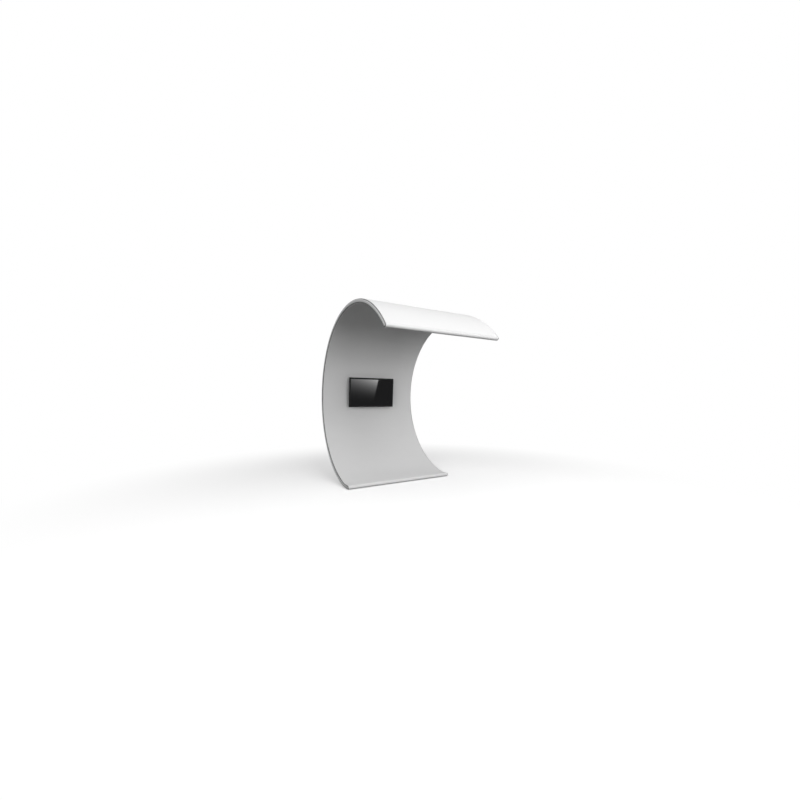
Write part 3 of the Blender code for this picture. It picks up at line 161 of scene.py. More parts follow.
# Half the outline of a zip tape, from its bead outwards, and a tooth's half length, root, reach,
# half height and taper.
TAPE_ACROSS = np.array((0.0030, 0.0038, 0.0046, 0.0080, 0.0120, 0.0160, 0.0186))
TAPE_HALF = np.array((0.0009, 0.0012, 0.0008, 0.00042, 0.00042, 0.00042, 0.00034))
TAPE_FLAT = 0.00042
TAPE_MIDDLE = -(OFFSET * math.cos(PART_TURN / 2) + CLOTH / 2) - SEAT_GAP - 0.00045
TOOTH_PITCH = 0.0025
TOOTH_HALF, TOOTH_ROOT, TOOTH_REACH = 0.0006, 0.00058, 0.0031
TOOTH_HEIGHT, TOOTH_TAPER = 0.0015, 0.75
BLOCK = np.array([(i, j, k) for i in (-1, 1) for j in (0, 1) for k in (-1, 1)], float)
BLOCK_FACES = ((0, 1, 3, 2), (4, 6, 7, 5), (0, 4, 5, 1), (2, 3, 7, 6), (0, 2, 6, 4), (1, 5, 7, 3))

# Outlines of turned pieces in millimetres: radius and height of each corner.
EYELET = (
    (6.0, -1.2), (6.0, 1.0), (6.8, 1.6), (8.5, 1.4),
    (9.8, 0.6), (9.8, -0.8), (8.5, -1.2), (6.0, -1.2),
)
BOLT_HEAD = ((0, 0), (5.0, 0), (5.0, 1.6), (4.2, 2.6), (2.4, 3.2), (2.1, 3.2), (2.1, 1.8), (0, 1.8))
FLAT_HEAD = ((0, 0.1), (3.6, 0.1), (3.6, 0.6), (2.8, 1.1), (1.3, 1.2), (1.2, 0.4), (0, 0.4))
PAN_HEAD = (
    (0, 0), (6.0, 0), (6.0, 0.8), (4.8, 0.8), (4.8, 2.6),
    (3.8, 3.6), (2.2, 3.8), (2.0, 1.8), (0, 1.8),
)
NUT_ACROSS, NUT_HEIGHT, NUT_BORE = 11.5, 3.4, 4.0
CHAMFER_ACROSS_SHARE, CHAMFER_HEIGHT_SHARE = 0.92, 0.86
BOLT_CIRCLE = 0.0240
FLANGE = 0.005
FLANGE_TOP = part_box("foot_bar_right")[1].z + SEAT_GAP + FLANGE

# The stage: place, aim, width and height of each light, and each card's corners as the camera
# sees them in the glass, its distance before the screen and its brightness.
CAMERA, CAMERA_TURN = (-2.3576, -4.0690, 1.1266), math.radians(-30)
LAMPS = {
    "ceiling": ((0.2, -0.9, 4.6), (0.2, -0.9, 0.0), 5.0, 4.2),
    "high": ((0.5, -4.6, 5.0), (0.0, 0.0, 0.8), 5.0, 3.4),
    "low": ((0.6, -6.4, 1.6), (0.0, 0.8, 0.7), 5.0, 2.0),
    "left": ((-4.8, -2.2, 3.0), (0.0, 0.7, 0.9), 3.0, 3.0),
    "right": ((4.8, -2.2, 3.0), (0.0, 0.7, 0.9), 3.0, 3.0),
    "rear": ((-0.8, 6.0, 3.2), (0.0, 1.0, 1.1), 4.0, 3.0),
}
DIM_GLOSS = 0.28
CARDS = {
    "dark_card": (((-1.6, -1.0), (1.6, -1.0), (1.6, 1.2), (-1.6, 1.2)), 3.1, DIM_GLOSS),
    "bright_card": (
        ((-0.367, -0.21), (0.018, -0.21), (0.112, 0.211), (-0.367, 0.211)), 3.0, 12.5
    ),
}
CARD_LEAN, CARD_FADE = 0.32, 3.3
FLOOR_REACH, FLOOR_DROP = 40.0, 0.0003
FADE_FROM, FADE_TO = 1.8, 4.5
WHITE = (1, 1, 1, 1)


def colour(name, about, rgb):
    """A colour that a user may change."""
    return bpy.props.FloatVectorProperty(
        name=name, description=about, subtype="COLOR", size=3, min=0, max=1, default=rgb
    )


def length(name, about, metres):
    """A length that a user may change."""
    return bpy.props.FloatProperty(
        name=name, description=about, unit="LENGTH", min=0, default=metres, precision=4
    )


def number(name, about, value, low=0.0, high=100.0):
    """A plain number that a user may change."""
    return bpy.props.FloatProperty(
        name=name, description=about, min=low, max=high, default=value
    )


class ClothSettings(bpy.types.PropertyGroup):
    """Sizes and colours of the stretched cloth and its sewing."""

    cloth: colour("Cloth", "The stretch cloth of wall and canopy", (0.82, 0.82, 0.82))
    strip: colour("Side strip", "The gusset along each side", (0.80, 0.80, 0.80))
    # The seam's dark colour is painted shade: it stands for the shade in the crease along each side
    # seam, not for the seam's own cloth.
    seam: colour("Seam", "The felled seam between panel and strip", (0.13, 0.13, 0.13))
    thread: colour("Thread", "The stitches", (0.42, 0.42, 0.43))
    knit: length("Knit pitch", "Distance between two wales of the knit", 0.0011)
    pull_in: length("Pull-in", "How far the taut cloth draws in half way across", 0.003)
    seam_width: length("Seam width", "Width of the felled seam", 0.0090)
    seam_height: length("Seam height", "How far the seam stands proud", 0.0022)
    stitch: length("Stitch pitch", "Distance from one stitch to the next", 0.0045)


class HardwareSettings(bpy.types.PropertyGroup):
    """Colours of metal, plastic and rubber."""

    tube: colour("Tube", "Extruded tube", (0.66, 0.67, 0.69))
    casting: colour("Casting", "Cast corner fittings", (0.42, 0.43, 0.45))
    bright: colour("Bright steel", "Buttons, slider, nuts and screws", (0.52, 0.52, 0.53))
    powder: colour("Powder coat", "Feet and bracket", (0.035, 0.035, 0.038))
    rubber: colour("Rubber", "Pads under the feet", (0.022, 0.022, 0.022))
    plastic: colour("Plastic", "Knobs", (0.020, 0.020, 0.022))
    housing: colour("Housing", "The screen's bezel and rear cover", (0.0075, 0.0075, 0.008))
    glass: colour("Screen glass", "The switched-off panel", (0.006, 0.006, 0.007))
    tape: colour("Zip tape", "Woven tape of the zip", (0.62, 0.62, 0.63))


class StageSettings(bpy.types.PropertyGroup):
    """Floor, lights and camera."""

    floor: colour("Floor", "The pale floor", (0.86, 0.86, 0.86))
    bounce: colour("Floor bounce", "What the floor gives back to the wall", (0.06, 0.06, 0.06))
    lift: number("Floor lift", "What the floor shows beyond the light on it", 0.36)
    sky: number("Sky", "Strength of the even light all round", 0.19)
    ceiling: number("Ceiling light", "Brightness of the light overhead", 0.2)
    high: number("High front light", "Brightness of the light high in front", 3.2)
    low: number("Low front light", "Brightness of the light low in front", 4.4)
    left: number("Left light", "Brightness of the light on the left", 2.5)
    right: number("Right light", "Brightness of the light on the right", 0.5)
    rear: number("Rear light", "Brightness of the light behind", 1.6)
    lens: number("Lens", "Focal length in millimetres on a 36 mm sensor", 15.395, 5, 200)


# Shapes


def arc(centre, radius, turns):
    """Circle points (cy + r sin a, cz - r cos a) and their directions away from the centre."""
    away = np.stack((np.sin(turns), -np.cos(turns)), 1)
    return centre + away * radius, away


def soft(share):
    """Smooth step from 0 to 1: 3 s^2 - 2 s^3."""
    share = np.clip(share, 0, 1)
    return share * share * (3 - 2 * share)


def hump(turns, first, last):
    """Half a wave squared, sin^2, from the first turn to the last, and 0 outside."""
    return np.sin(np.clip((turns - first) / (last - first), 0, 1) * math.pi) ** 2


def unit(vectors):
    """Directions, from vectors of any length."""
    return vectors / np.linalg.norm(vectors, axis=-1, keepdims=True)


def along(points):
    """Length from the first point to each one."""
    steps = np.linalg.norm(np.diff(points, axis=0), axis=1)
    return np.concatenate(([0.0], np.cumsum(steps)))


# A run is a part of the line round the wall, seen from the side: points of the hoops' line, the
# directions in which the cloth lies from them, and how far.


def outer_arc(turns):
    """The round side. The reach is the offset less s cos^2 over the zip's facet, s its sagitta."""
    line, away = arc(CENTRE, ARC_RADIUS, turns)
    near = np.clip(np.abs(turns - ZIP_TURN) / (PART_TURN / 2), 0, 1)
    return line, away, OFFSET - SAGITTA * np.cos(near * math.pi / 2) ** 2


def inner_reach(after_start, before_end):
    """The hollow side's reach: the offset plus one facet's sagitta, eased in from 3 cm before the
    arc and out towards its end over 12 cm, so that the cloth clears the bent tubes."""
    eased = soft((after_start + CLEAR_BEFORE) / CLEAR_OVER) * soft(before_end / CLEAR_OVER)
    return OFFSET + SAGITTA * eased


def inner_arc(turns):
    """The hollow side."""
    line, away = arc(CENTRE, ARC_RADIUS, turns)
    return line, -away, inner_reach((turns - START) * ARC_RADIUS, (END - turns) * ARC_RADIUS)


def toe(turns, hollow):
    """The tighter bend before the nose, on the hollow side or under it."""
    line, away = arc(TOE, TOE_RADIUS, turns)
    if hollow:
        return line, -away, inner_reach((turns - START) * TOE_RADIUS, ARC_RADIUS)
    return line, away, np.full(len(turns), OFFSET)


def straight(start, end, up, rows=2):
    """The level piece between toe and nose."""
    line = start + (np.asarray(end) - start) * np.linspace(0, 1, rows)[:, None]
    return line, np.tile((0.0, up), (rows, 1)), np.full(rows, OFFSET)


def wrap(centre, first, through):
    """Half a turn round an end tube: directions cos t first + sin t through."""
    turn = np.linspace(0, math.pi, WRAP_STEPS + 1)[:, None]
    away = np.cos(turn) * np.asarray(first) + np.sin(turn) * np.asarray(through)
    return np.tile(centre, (len(turn), 1)), away, np.full(len(turn), OFFSET)


def joined(*runs):
    """Several runs as one, without the repeated first point of each."""
    keep = [slice(0, None)] + [slice(1, None)] * (len(runs) - 1)
    return [np.concatenate([run[i][k] for run, k in zip(runs, keep)]) for i in range(3)]


def reverse(run):
    """The same run from its other end."""
    return [part[::-1] for part in run]


def up_the_front(rows, level_rows=2):
    """From under the toe round the nose, up the hollow side and over the lip."""
    away = np.array((math.sin(END), -math.cos(END)))
    ahead = np.array((math.cos(END), math.sin(END)))
    return (
        straight(TOE_FOOT, NOSE, -1.0),
        wrap(NOSE, (0, -1), (-1, 0)),
        straight(NOSE, TOE_FOOT, 1.0, level_rows),
        toe(BEND, True),
        inner_arc(rows),
        wrap(LIP, -away, ahead),
    )


def front_run():
    """The front panel from the zip down, under the nose, up the hollow side and over the lip, and
    how much of the pull-in each row takes."""
    edges = np.array([s * STUD_Y + e * STUD_HOLE for s, e in CORNERS])
    edges = SCREEN_TURN + np.arcsin(edges / HOLLOW_SIDE)
    rows = np.union1d(np.linspace(START, END, ARC_STEPS), edges)
    under = outer_arc(np.linspace(ZIP_TURN - ZIP_HALF_TURN, START, 15))
    run = joined(under, toe(BEND[::-1], False), *up_the_front(rows, 7))
    share = np.zeros(len(run[0]))
    drawn = hump(rows, CANOPY_DRAWN_FROM, END) + hump(rows, START, WALL_DRAWN_TO)
    share[-WRAP_STEPS - len(rows) : -WRAP_STEPS] = drawn
    return run, share


def back_run():
    """The back panel from the zip up the round side to the lip's seam."""
    half = RISER_HOLE_ALONG / ARC_RADIUS
    rows = np.linspace(ZIP_TURN + ZIP_HALF_TURN, END, ARC_STEPS)
    rows = np.union1d(rows, (RISER_TURN - half, RISER_TURN + half))
    return outer_arc(rows), hump(rows, BACK_DRAWN_FROM, END)


def side_run():
    """The whole line round one side, closed, from under the toe round the nose."""
    rows = np.linspace(START, END, ARC_STEPS)
    return joined(*up_the_front(rows), reverse(outer_arc(rows)), reverse(toe(BEND, False)))


def cloth_length(run):
    """Length from the run's first row to each one, on the cloth."""
    line, away, reach = run
    return along(line + away * reach[:, None])


def bridged(run):
    """How far the taut cloth stands off the toe's hollow at each row, half way across: up to a
    cubic in y that leaves the nose tube at one slope and meets the arc at another."""
    line, away, reach = run
    y, z = (line + away * reach[:, None]).T
    y0, z0 = NOSE + OFFSET * np.array((-math.sin(NOSE_SLOPE), math.cos(NOSE_SLOPE)))
    landing, far_away, far_reach = inner_arc(np.array((LANDING,)))
    y1, z1 = (landing + far_away * far_reach[:, None])[0]
    wide, t = y1 - y0, (y - y0) / (y1 - y0)
    slopes = (t**3 - 2 * t**2 + t) * math.tan(NOSE_SLOPE) + (t**3 - t**2) * math.tan(LANDING)
    cubic = (2 * t**3 - 3 * t**2 + 1) * z0 + (3 * t**2 - 2 * t**3) * z1 + slopes * wide
    over = (t > 0) & (t < 1) & (away[:, 1] > 0)
    return np.where(over, np.maximum(cubic - z, 0) * away[:, 1], 0)


def carried(run, x, lift):
    """A grid of points: each row of the run's line, moved by its direction times the lift of each
    column, at that column's x."""
    place = run[0][:, None, :] + run[1][:, None, :] * lift[..., None]
    return np.concatenate((np.broadcast_to(x, lift.shape)[..., None], place), -1)


def over_tube(run, side, turn, rise=0.0):
    """Points on the round of a side tube: x = X + (r + h) cos p, and (reach + h) sin p from the
    hoops' line, for every row of the run and every turn p with its rise h."""
    turn, rise = np.broadcast_arrays(np.asarray(turn, float), np.asarray(rise, float))
    lift = (run[2][:, None] + rise) * np.sin(turn)
    return carried(run, side * (HOOP_X + (OFFSET + rise) * np.cos(turn)), lift)


def seam_to_seam(run, x, lift):
    """A grid carried across at each x between the hoops and round each hoop down to the seam."""
    left, right = over_tube(run, -1, AROUND_TUBE[::-1]), over_tube(run, 1, AROUND_TUBE)
    return np.concatenate((left, carried(run, x, lift), right), 1)


def flat_map(u, v):
    """UV coordinates in metres for every row v and column u."""
    return np.stack(np.broadcast_arrays(u[None, :], v[:, None]), -1)


def new_mesh(name, points, faces, uv=None):
    """A mesh object from whole arrays: points (n, 3), faces (m, k), uv (n, 2) in metres."""
    points = np.asarray(points, np.float32).reshape(-1, 3)
    faces = np.asarray(faces, np.int32)
    mesh = bpy.data.meshes.new(name)
    mesh.vertices.add(len(points))
    mesh.vertices.foreach_set("co", points.ravel())
    mesh.loops.add(faces.size)
    mesh.loops.foreach_set("vertex_index", faces.ravel())
    mesh.polygons.add(len(faces))
    mesh.polygons.foreach_set("loop_start", np.arange(len(faces), dtype=np.int32) * faces.shape[1])
    mesh.update(calc_edges=True)
    if uv is not None:
        corners = np.asarray(uv, np.float32).reshape(-1, 2)[faces.ravel()]
        mesh.uv_layers.new(name="UVMap").data.foreach_set("uv", corners.ravel())
    mesh.polygons.foreach_set("use_smooth", np.ones(len(faces), bool))
    obj = bpy.data.objects.new(name, mesh)
    bpy.context.scene.collection.objects.link(obj)
    return obj


def grid_faces(rows, columns, loop_rows=False, loop_columns=False):
    """Quads of a rows x columns grid of points, the last row or column joined to the first on
    request."""
    down = np.arange(rows if loop_rows else rows - 1)[:, None]
    over = np.arange(columns if loop_columns else columns - 1)[None, :]
    below, beside = (down + 1) % rows * columns, (over + 1) % columns
    corners = down * columns + over, down * columns + beside, below + beside, below + over
    return np.stack(np.broadcast_arrays(*corners), -1).reshape(-1, 4)


def surface(name, grid, uv, loop_rows=False, loop_columns=False):
    """A mesh of a whole grid of points (rows, columns, 3)."""
    return new_mesh(name, grid, grid_faces(*grid.shape[:2], loop_rows, loop_columns), uv)


def shell(obj):
    """Gives an open surface the cloth's thickness, half on either side."""
    solid = obj.modifiers.new("thickness", "SOLIDIFY")
    solid.thickness = CLOTH
    solid.offset = 0
    return obj


def merged(obj, close_ends=False):
    """Merges doubled points or caps the open ends of a prism, and turns the faces outwards."""
    bm = bmesh.new()
    bm.from_mesh(obj.data)
    if close_ends:
        bmesh.ops.holes_fill(bm, edges=bm.edges, sides=0)
    else:
        bmesh.ops.remove_doubles(bm, verts=bm.verts, dist=0.000002)
    bmesh.ops.recalc_face_normals(bm, faces=bm.faces)
    bm.to_mesh(obj.data)
    bm.free()
    return obj


def panel(name, run, share, columns, holes, pull_in):
    """Cloth from seam to seam: every row carried across X between the hoops and round each of them
    down to the seam. Between the hoops it is drawn in by pull_in * share * (1 - (x / X)^2), and
    stands off the toe's hollow by its bridge, eased in over 25 cm from each hoop. Quads whose
    middle lies in a hole are left out."""
    x = np.union1d(columns, (-HOOP_X, HOOP_X))
    drawn = pull_in * share[:, None] * (1 - (x / HOOP_X) ** 2)
    drawn = drawn + bridged(run)[:, None] * soft((HOOP_X - np.abs(x)) / BRIDGE_EASE)
    grid = seam_to_seam(run, x, run[2][:, None] + drawn)
    beyond = OFFSET * (math.pi / 2 - AROUND_TUBE) + HOOP_X
    uv = flat_map(np.concatenate((-beyond[::-1], x, beyond)), cloth_length(run))
    faces = grid_faces(*grid.shape[:2])
    for low, high in holes:
        middle = grid.reshape(-1, 3)[faces].mean(1)
        faces = faces[~((middle > low) & (middle < high)).all(1)]
    return shell(new_mesh(name, grid, faces, uv))


def strip_layout(run):
    """For each row of the side run, how the strip lay on the cutting table: the share of a step
    away from its middle line that goes across it, the share that goes along it, past the nose or
    the lip, and the row's place along the hoop."""
    half = np.linspace(0, math.pi, WRAP_STEPS + 1)[1:]
    hollow, outer = ARC_STEPS + BEND_STEPS - 1, ARC_STEPS + BEND_STEPS - 2
    parts = (-1, -1), -np.cos(half), np.ones(hollow), np.cos(half), -np.ones(outer)
    level = np.concatenate(parts)
    parts = (0, 0), -np.sin(half), np.zeros(hollow), np.sin(half), np.zeros(outer)
    ahead = np.concatenate(parts)
    far = along(run[0])
    nose, lip = far[1], far[-outer - 1]
    return level, ahead, np.where(far > lip, 2 * lip - far, far) - nose * np.sign(far - nose / 2)


def side_strip(name, side):
    """The strip between the two seams: round the tube from turn 0, where both halves meet, to the
    seam's turn, and closed over the nose and the lip."""
    run = side_run()
    turn = np.linspace(0, SEAM_TURN, 9)
    level, ahead, far = strip_layout(run)
    from_middle = turn[None, :] * OFFSET
    uv = np.stack((level[:, None] * from_middle, far[:, None] + ahead[:, None] * from_middle), -1)
    return shell(merged(surface(name, over_tube(run, side, turn), uv)))


def crown(width, height):
    """The outline of a felled seam: w sin t wide and h cos t high, with its back in the cloth."""
    t = np.linspace(-math.pi / 2, math.pi / 2, 7)
    across = np.concatenate((np.sin(t) * width / 2, (width * BACK_SHARE, -width * BACK_SHARE)))
    rise = np.concatenate((np.cos(t) * height + SEAM_FOOT, (SEAM_BACK, SEAM_BACK)))
    return across, rise


def seam_band(name, side, width, height):
    """The felled seam: its low crown carried along the side's line at the seam's turn."""
    run = side_run()
    across, rise = crown(width, height)
    grid = over_tube(run, side, SEAM_TURN + across / OFFSET, rise)
    uv = flat_map(across, cloth_length(run))
    return merged(surface(name, grid, uv, False, True))


def lip_seam(name, width, height):
    """The flat seam between both panels behind the lip: the same crown, carried across."""
    across, rise = crown(width, height)
    line, away, reach = outer_arc(END - width / ARC_RADIUS + across / ARC_RADIUS)
    x = np.linspace(-HOOP_X, HOOP_X, 61)
    lift = np.repeat((reach + rise)[:, None], len(x), 1)
    grid = seam_to_seam((line, away, reach + rise), x, lift)
    return merged(surface(name, grid, flat_map(along(grid[0]), across), True))


def seam_spots(side, shift, rise, pitch):
    """Evenly spaced points beside the seam's middle, with their normals and directions along."""
    turn = SEAM_TURN + shift / OFFSET
    paths = over_tube(side_run(), side, (turn, turn), (rise, rise + 0.001))
    far = along(paths[:, 0])
    at = np.linspace(0, far[-1], round(far[-1] / pitch), endpoint=False)
    low, high = (
        np.stack([np.interp(at, far, paths[:, k, axis]) for axis in range(3)], 1) for k in (0, 1)
    )
    return low, unit(high - low), unit(np.roll(low, -1, axis=0) - np.roll(low, 1, axis=0))


def lip_spots(width, shift, rise, pitch):
    """The same for a row of stitches on the lip's seam, from hoop to hoop."""
    line, away, reach = outer_arc(np.array([END + (shift - width) / ARC_RADIUS]))
    x = np.arange(-HOOP_X, HOOP_X, pitch)[:, None]
    place = np.tile(line + away * (reach + rise)[:, None], (len(x), 1))
    normals = np.tile(np.insert(away, 0, 0, axis=1), (len(x), 1))
    return np.hstack((x, place)), normals, np.tile((1.0, 0.0, 0.0), (len(x), 1))


def stitches(name, spots, normals, tangents, reach):
    """One lozenge at each spot: an end before and behind, and a ring of four between them."""
    side = np.cross(normals, tangents)
    quarter = np.arange(4) * math.pi / 2
    ring = [spots + (normals * math.cos(t) + side * math.sin(t)) * THREAD_RADIUS for t in quarter]
    points = np.stack([spots - tangents * reach, spots + tangents * reach] + ring, 1)
    order = [(end, 2 + (i + 1 - end) % 4, 2 + (i + end) % 4) for end in (0, 1) for i in range(4)]
    faces = np.arange(len(spots))[:, None, None] * 6 + np.array(order)
    return merged(new_mesh(name, points, faces.reshape(-1, 3)))


def two_rows(name, spots, where, width, height, pitch):
    """Stitches in a row on either side of a seam's crown. spots says where a row's stitches are."""
    rise = SEAM_FOOT + height * ROW_RISE
    rows = [spots(where, side * width * ROW_SHARE, rise, pitch) for side in (-1, 1)]
    return stitches(name, *(np.concatenate(parts) for parts in zip(*rows)), pitch * STITCH_SHARE)


def on_patch(r, t, rise):
    """Points r cos t across and r sin t up the round side from above the riser, and the directions
    away there. Near the bore they are stretched up the slope by 1 / cos of the riser's turn, so
    that the bore is round from above."""
    near = np.clip((PATCH_RADIUS - r) / PATCH_EASE, 0, 1)
    slope = RISER_TURN + r * np.sin(t) * (1 + (1 / math.cos(RISER_TURN) - 1) * near) / ROUND_SIDE
    away = np.stack((np.zeros_like(slope), np.sin(slope), -np.cos(slope)), -1)
    across = np.stack((r * np.cos(t), 0 * r, 0 * r), -1)
    return away * (ROUND_SIDE + rise)[..., None] + (0, *CENTRE) + across, away


def lathe(profile, sides):
    """A ring of `sides` columns for each (radius, height) in millimetres, closed at top and bottom
    where the radius is 0; points (r cos t, r sin t, h) in metres and quads."""
    turn = np.arange(sides) * 2 * math.pi / sides
    profile = np.asarray(profile, float) / 1000
    ring = np.stack((np.cos(turn), np.sin(turn)), 1)
    flat = profile[:, None, :1] * ring[None]
    height = np.broadcast_to(profile[:, None, 1:], flat.shape[:2] + (1,))
    points = np.concatenate((flat, height), -1).reshape(-1, 3)
    return points, grid_faces(len(profile), sides, False, True)


def nut_outline():
    """A hexagon nut's outline: outer corners at a / (2 cos 30), chamfered on top."""
    outer = NUT_ACROSS / 2 / math.cos(math.pi / 6)
    chamfer = (outer, NUT_HEIGHT * CHAMFER_HEIGHT_SHARE), (outer * CHAMFER_ACROSS_SHARE, NUT_HEIGHT)
    return (NUT_BORE, 0), (outer, 0), *chamfer, (NUT_BORE, NUT_HEIGHT), (NUT_BORE, 0)


def in_frame(points, matrix):
    """Points given in a frame (4 x 4), in the world."""
    return np.asarray(points) @ matrix[:3, :3].T + matrix[:3, 3]


def frame_at(origin, x_axis, y_axis, z_axis):
    """A frame (4 x 4) from its origin and its axes."""
    matrix = np.eye(4)
    matrix[:3, 0], matrix[:3, 1], matrix[:3, 2], matrix[:3, 3] = x_axis, y_axis, z_axis, origin
    return matrix


def shifted(matrix, x, y, z, turned=None):
    """The frame, or another one turned from it, moved to a point given in it."""
    moved = (matrix if turned is None else turned).copy()
    moved[:3, 3] = in_frame((x, y, z), matrix)
    return moved


def arc_plane(turn, depth):
    """Frame at x = 0 on the arc's radius at this turn, `depth` inside the hoops' line: +Y up along
    the wall, +Z towards the arc's centre."""
    away = np.array((0.0, math.sin(turn), -math.cos(turn)))
    up = np.array((0.0, math.cos(turn), math.sin(turn)))
    return frame_at((0.0, *CENTRE) + away * (ARC_RADIUS - depth), (1, 0, 0), up, -away)


def screen_plane(bracket):
    """The screen's frame on its hinge: the bracket's plane turned by the rest tilt."""
    hinge = shifted(bracket, 0, 0, HINGE_DEPTH)
    up, out = hinge[:3, 1], hinge[:3, 2]
    c, s = math.cos(REST_TILT), math.sin(REST_TILT)
    return frame_at(hinge[:3, 3], (1, 0, 0), up * c + out * s, out * c - up * s)


BRACKET = arc_plane(SCREEN_TURN, RAIL_SINK)
SCREEN = screen_plane(BRACKET)
SCREEN_BACK = SCREEN * (-1, 1, -1, 1)


# Finishes


def feed(tree, socket, value):
    """Gives a socket a value or a link."""
    if isinstance(value, bpy.types.NodeSocket):
        tree.links.new(value, socket)
    else:
        socket.default_value = value


def add(tree, kind, sockets=None, **settings):
    """Adds a node. Its own settings come by name, and each socket takes a value or a link."""
    made = tree.nodes.new(kind)
    for name, value in settings.items():
        setattr(made, name, value)
    for name, value in (sockets or {}).items():
        feed(tree, made.inputs[name], value)
    return made


def maths(tree, operation, *values):
    """The result of one Math node."""
    sockets = dict(enumerate(values))
    return add(tree, "ShaderNodeMath", sockets, operation=operation).outputs[0]


def product(tree, first, *others):
    """The product of all values."""
    for other in others:
        first = maths(tree, "MULTIPLY", first, other)
    return first


def group(name, inputs, outputs):
    """An empty shader node group with these inputs, each with a default but the coordinates, and
    these float outputs."""
    tree = bpy.data.node_groups.new(name, "ShaderNodeTree")
    new_socket = tree.interface.new_socket
    new_socket("Coordinates", in_out="INPUT", socket_type="NodeSocketVector")
    for word, value in inputs.items():
        socket = new_socket(word, in_out="INPUT", socket_type="NodeSocketFloat")
        socket.default_value = value
    for word in outputs:
        new_socket(word, in_out="OUTPUT", socket_type="NodeSocketFloat")
    return tree, tree.nodes.new("NodeGroupInput").outputs, tree.nodes.new("NodeGroupOutput").inputs


def fabric_group(name):
    """A group that reads u and v counted in threads, and gives Height and Shade."""
    tree, given, wanted = group(name, {"Pitch": 0.001}, ("Height", "Shade"))
    split = add(tree, "ShaderNodeSeparateXYZ", {"Vector": given["Coordinates"]})
    u, v = (maths(tree, "DIVIDE", split.outputs[axis], given["Pitch"]) for axis in "XY")
    return tree, u, v, wanted


def make_knit():
    """Stretch knit: columns |sin(pi u)| crossed by a slanted row wave, u and v counted in wales."""
    tree, u, v, wanted = fabric_group("knit")
    wale = maths(tree, "ABSOLUTE", maths(tree, "SINE", product(tree, u, math.pi)))
    lean = maths(tree, "PINGPONG", u, 0.5)
    phase = product(tree, maths(tree, "ADD", product(tree, v, 1.35), lean), 2 * math.pi)
    row = maths(tree, "MULTIPLY_ADD", maths(tree, "SINE", phase), 0.25, 0.75)
    height = product(tree, wale, row)
    feed(tree, wanted["Height"], height)
    # Shade makes the colour darker where the knit is low: painted shade in the valleys between
    # wales and rows.
    feed(tree, wanted["Shade"], maths(tree, "MULTIPLY_ADD", height, 0.06, 0.95))
    return tree


def make_weave():
    """Plain weave for tape: two crossed sine ribs, sin(pi u) sin(pi v), that take turns on top."""
    tree, u, v, wanted = fabric_group("weave")
    ribs = [maths(tree, "SINE", product(tree, count, math.pi)) for count in (u, v)]
    height = maths(tree, "MULTIPLY_ADD", product(tree, *ribs), 0.5, 0.5)
    feed(tree, wanted["Height"], height)
    # Shade makes the colour darker where the weave is low: painted shade where the threads dip
    # under each other.
    feed(tree, wanted["Shade"], maths(tree, "MULTIPLY_ADD", height, 0.18, 0.84))
    return tree


def noise(tree, coordinates, scale, detail, roughness=0.5):
    """A smooth noise from 0 to 1."""
    sockets = {"Vector": coordinates, "Scale": scale, "Detail": detail, "Roughness": roughness}
    return add(tree, "ShaderNodeTexNoise", sockets).outputs["Fac"]


def make_mottle():
    """Slow and quick noise mixed, as a value about 1 that a colour is multiplied by."""
    inputs = {"Slow": 3.0, "Quick": 60.0, "Depth": 0.1}
    tree, given, wanted = group("mottle", inputs, ("Value", "Height"))
    slow = noise(tree, given["Coordinates"], given["Slow"], 2.0)
    quick = noise(tree, given["Coordinates"], given["Quick"], 3.0)
    both = maths(tree, "SUBTRACT", maths(tree, "ADD", slow, quick), 1.0)
    feed(tree, wanted["Value"], maths(tree, "MULTIPLY_ADD", both, given["Depth"], 1.0))
    feed(tree, wanted["Height"], quick)
    return tree


def make_scuffs():
    """Fine drawn lines: noise stretched by the coordinates it is given, kept where it is high."""
    tree, given, wanted = group("scuffs", {"Scale": 40.0, "Amount": 0.3}, ("Mask", "Height"))
    lines = noise(tree, given["Coordinates"], given["Scale"], 5.0, 0.65)
    low = maths(tree, "SUBTRACT", 0.75, given["Amount"])
    mask = add(tree, "ShaderNodeMapRange", {"Value": lines, "From Min": low, "From Max": 0.78})
    feed(tree, wanted["Mask"], mask.outputs[0])
    feed(tree, wanted["Height"], lines)
    return tree


MAKERS = {"knit": make_knit, "weave": make_weave, "mottle": make_mottle, "scuffs": make_scuffs}
GROUPS = {}


def use(tree, name, coordinates, **values):
    """Places the shared group of this name, which is built once, with its own values."""
    if name not in GROUPS:
        GROUPS[name] = MAKERS[name]()
    sockets = {"Coordinates": coordinates, **values}
    return add(tree, "ShaderNodeGroup", sockets, node_tree=GROUPS[name]).outputs


def material(name, layout, **constants):
    """A material with a Principled shader whose constants are set on its own sockets, and the
    coordinates of this layout."""
    made = bpy.data.materials.new(name)
    made.use_nodes = True
    shader = made.node_tree.nodes["Principled BSDF"]
    for word, value in constants.items():
        shader.inputs[word.replace("_", " ")].default_value = value
    place = add(made.node_tree, "ShaderNodeTexCoord").outputs[layout]
    return made, made.node_tree, shader.inputs, place


def tint(tree, shader, rgb, *factors):
    """Base colour: the plain colour times each of the factors."""
    sockets = {0: tuple(rgb), "Scale": product(tree, *factors)}
    mix = add(tree, "ShaderNodeVectorMath", sockets, operation="SCALE")
    feed(tree, shader["Base Color"], mix.outputs[0])


def rough(tree, shader, value, low, high):
    """Roughness between low and high, by a value from 0 to 1."""
    spread = add(tree, "ShaderNodeMapRange", {"Value": value, "To Min": low, "To Max": high})
    feed(tree, shader["Roughness"], spread.outputs[0])


def bump(tree, height, distance, strength, **under):
    """A normal from a height, over another normal if one is given."""
    sockets = {"Height": height, "Distance": distance, "Strength": strength, **under}
    return add(tree, "ShaderNodeBump", sockets).outputs[0]


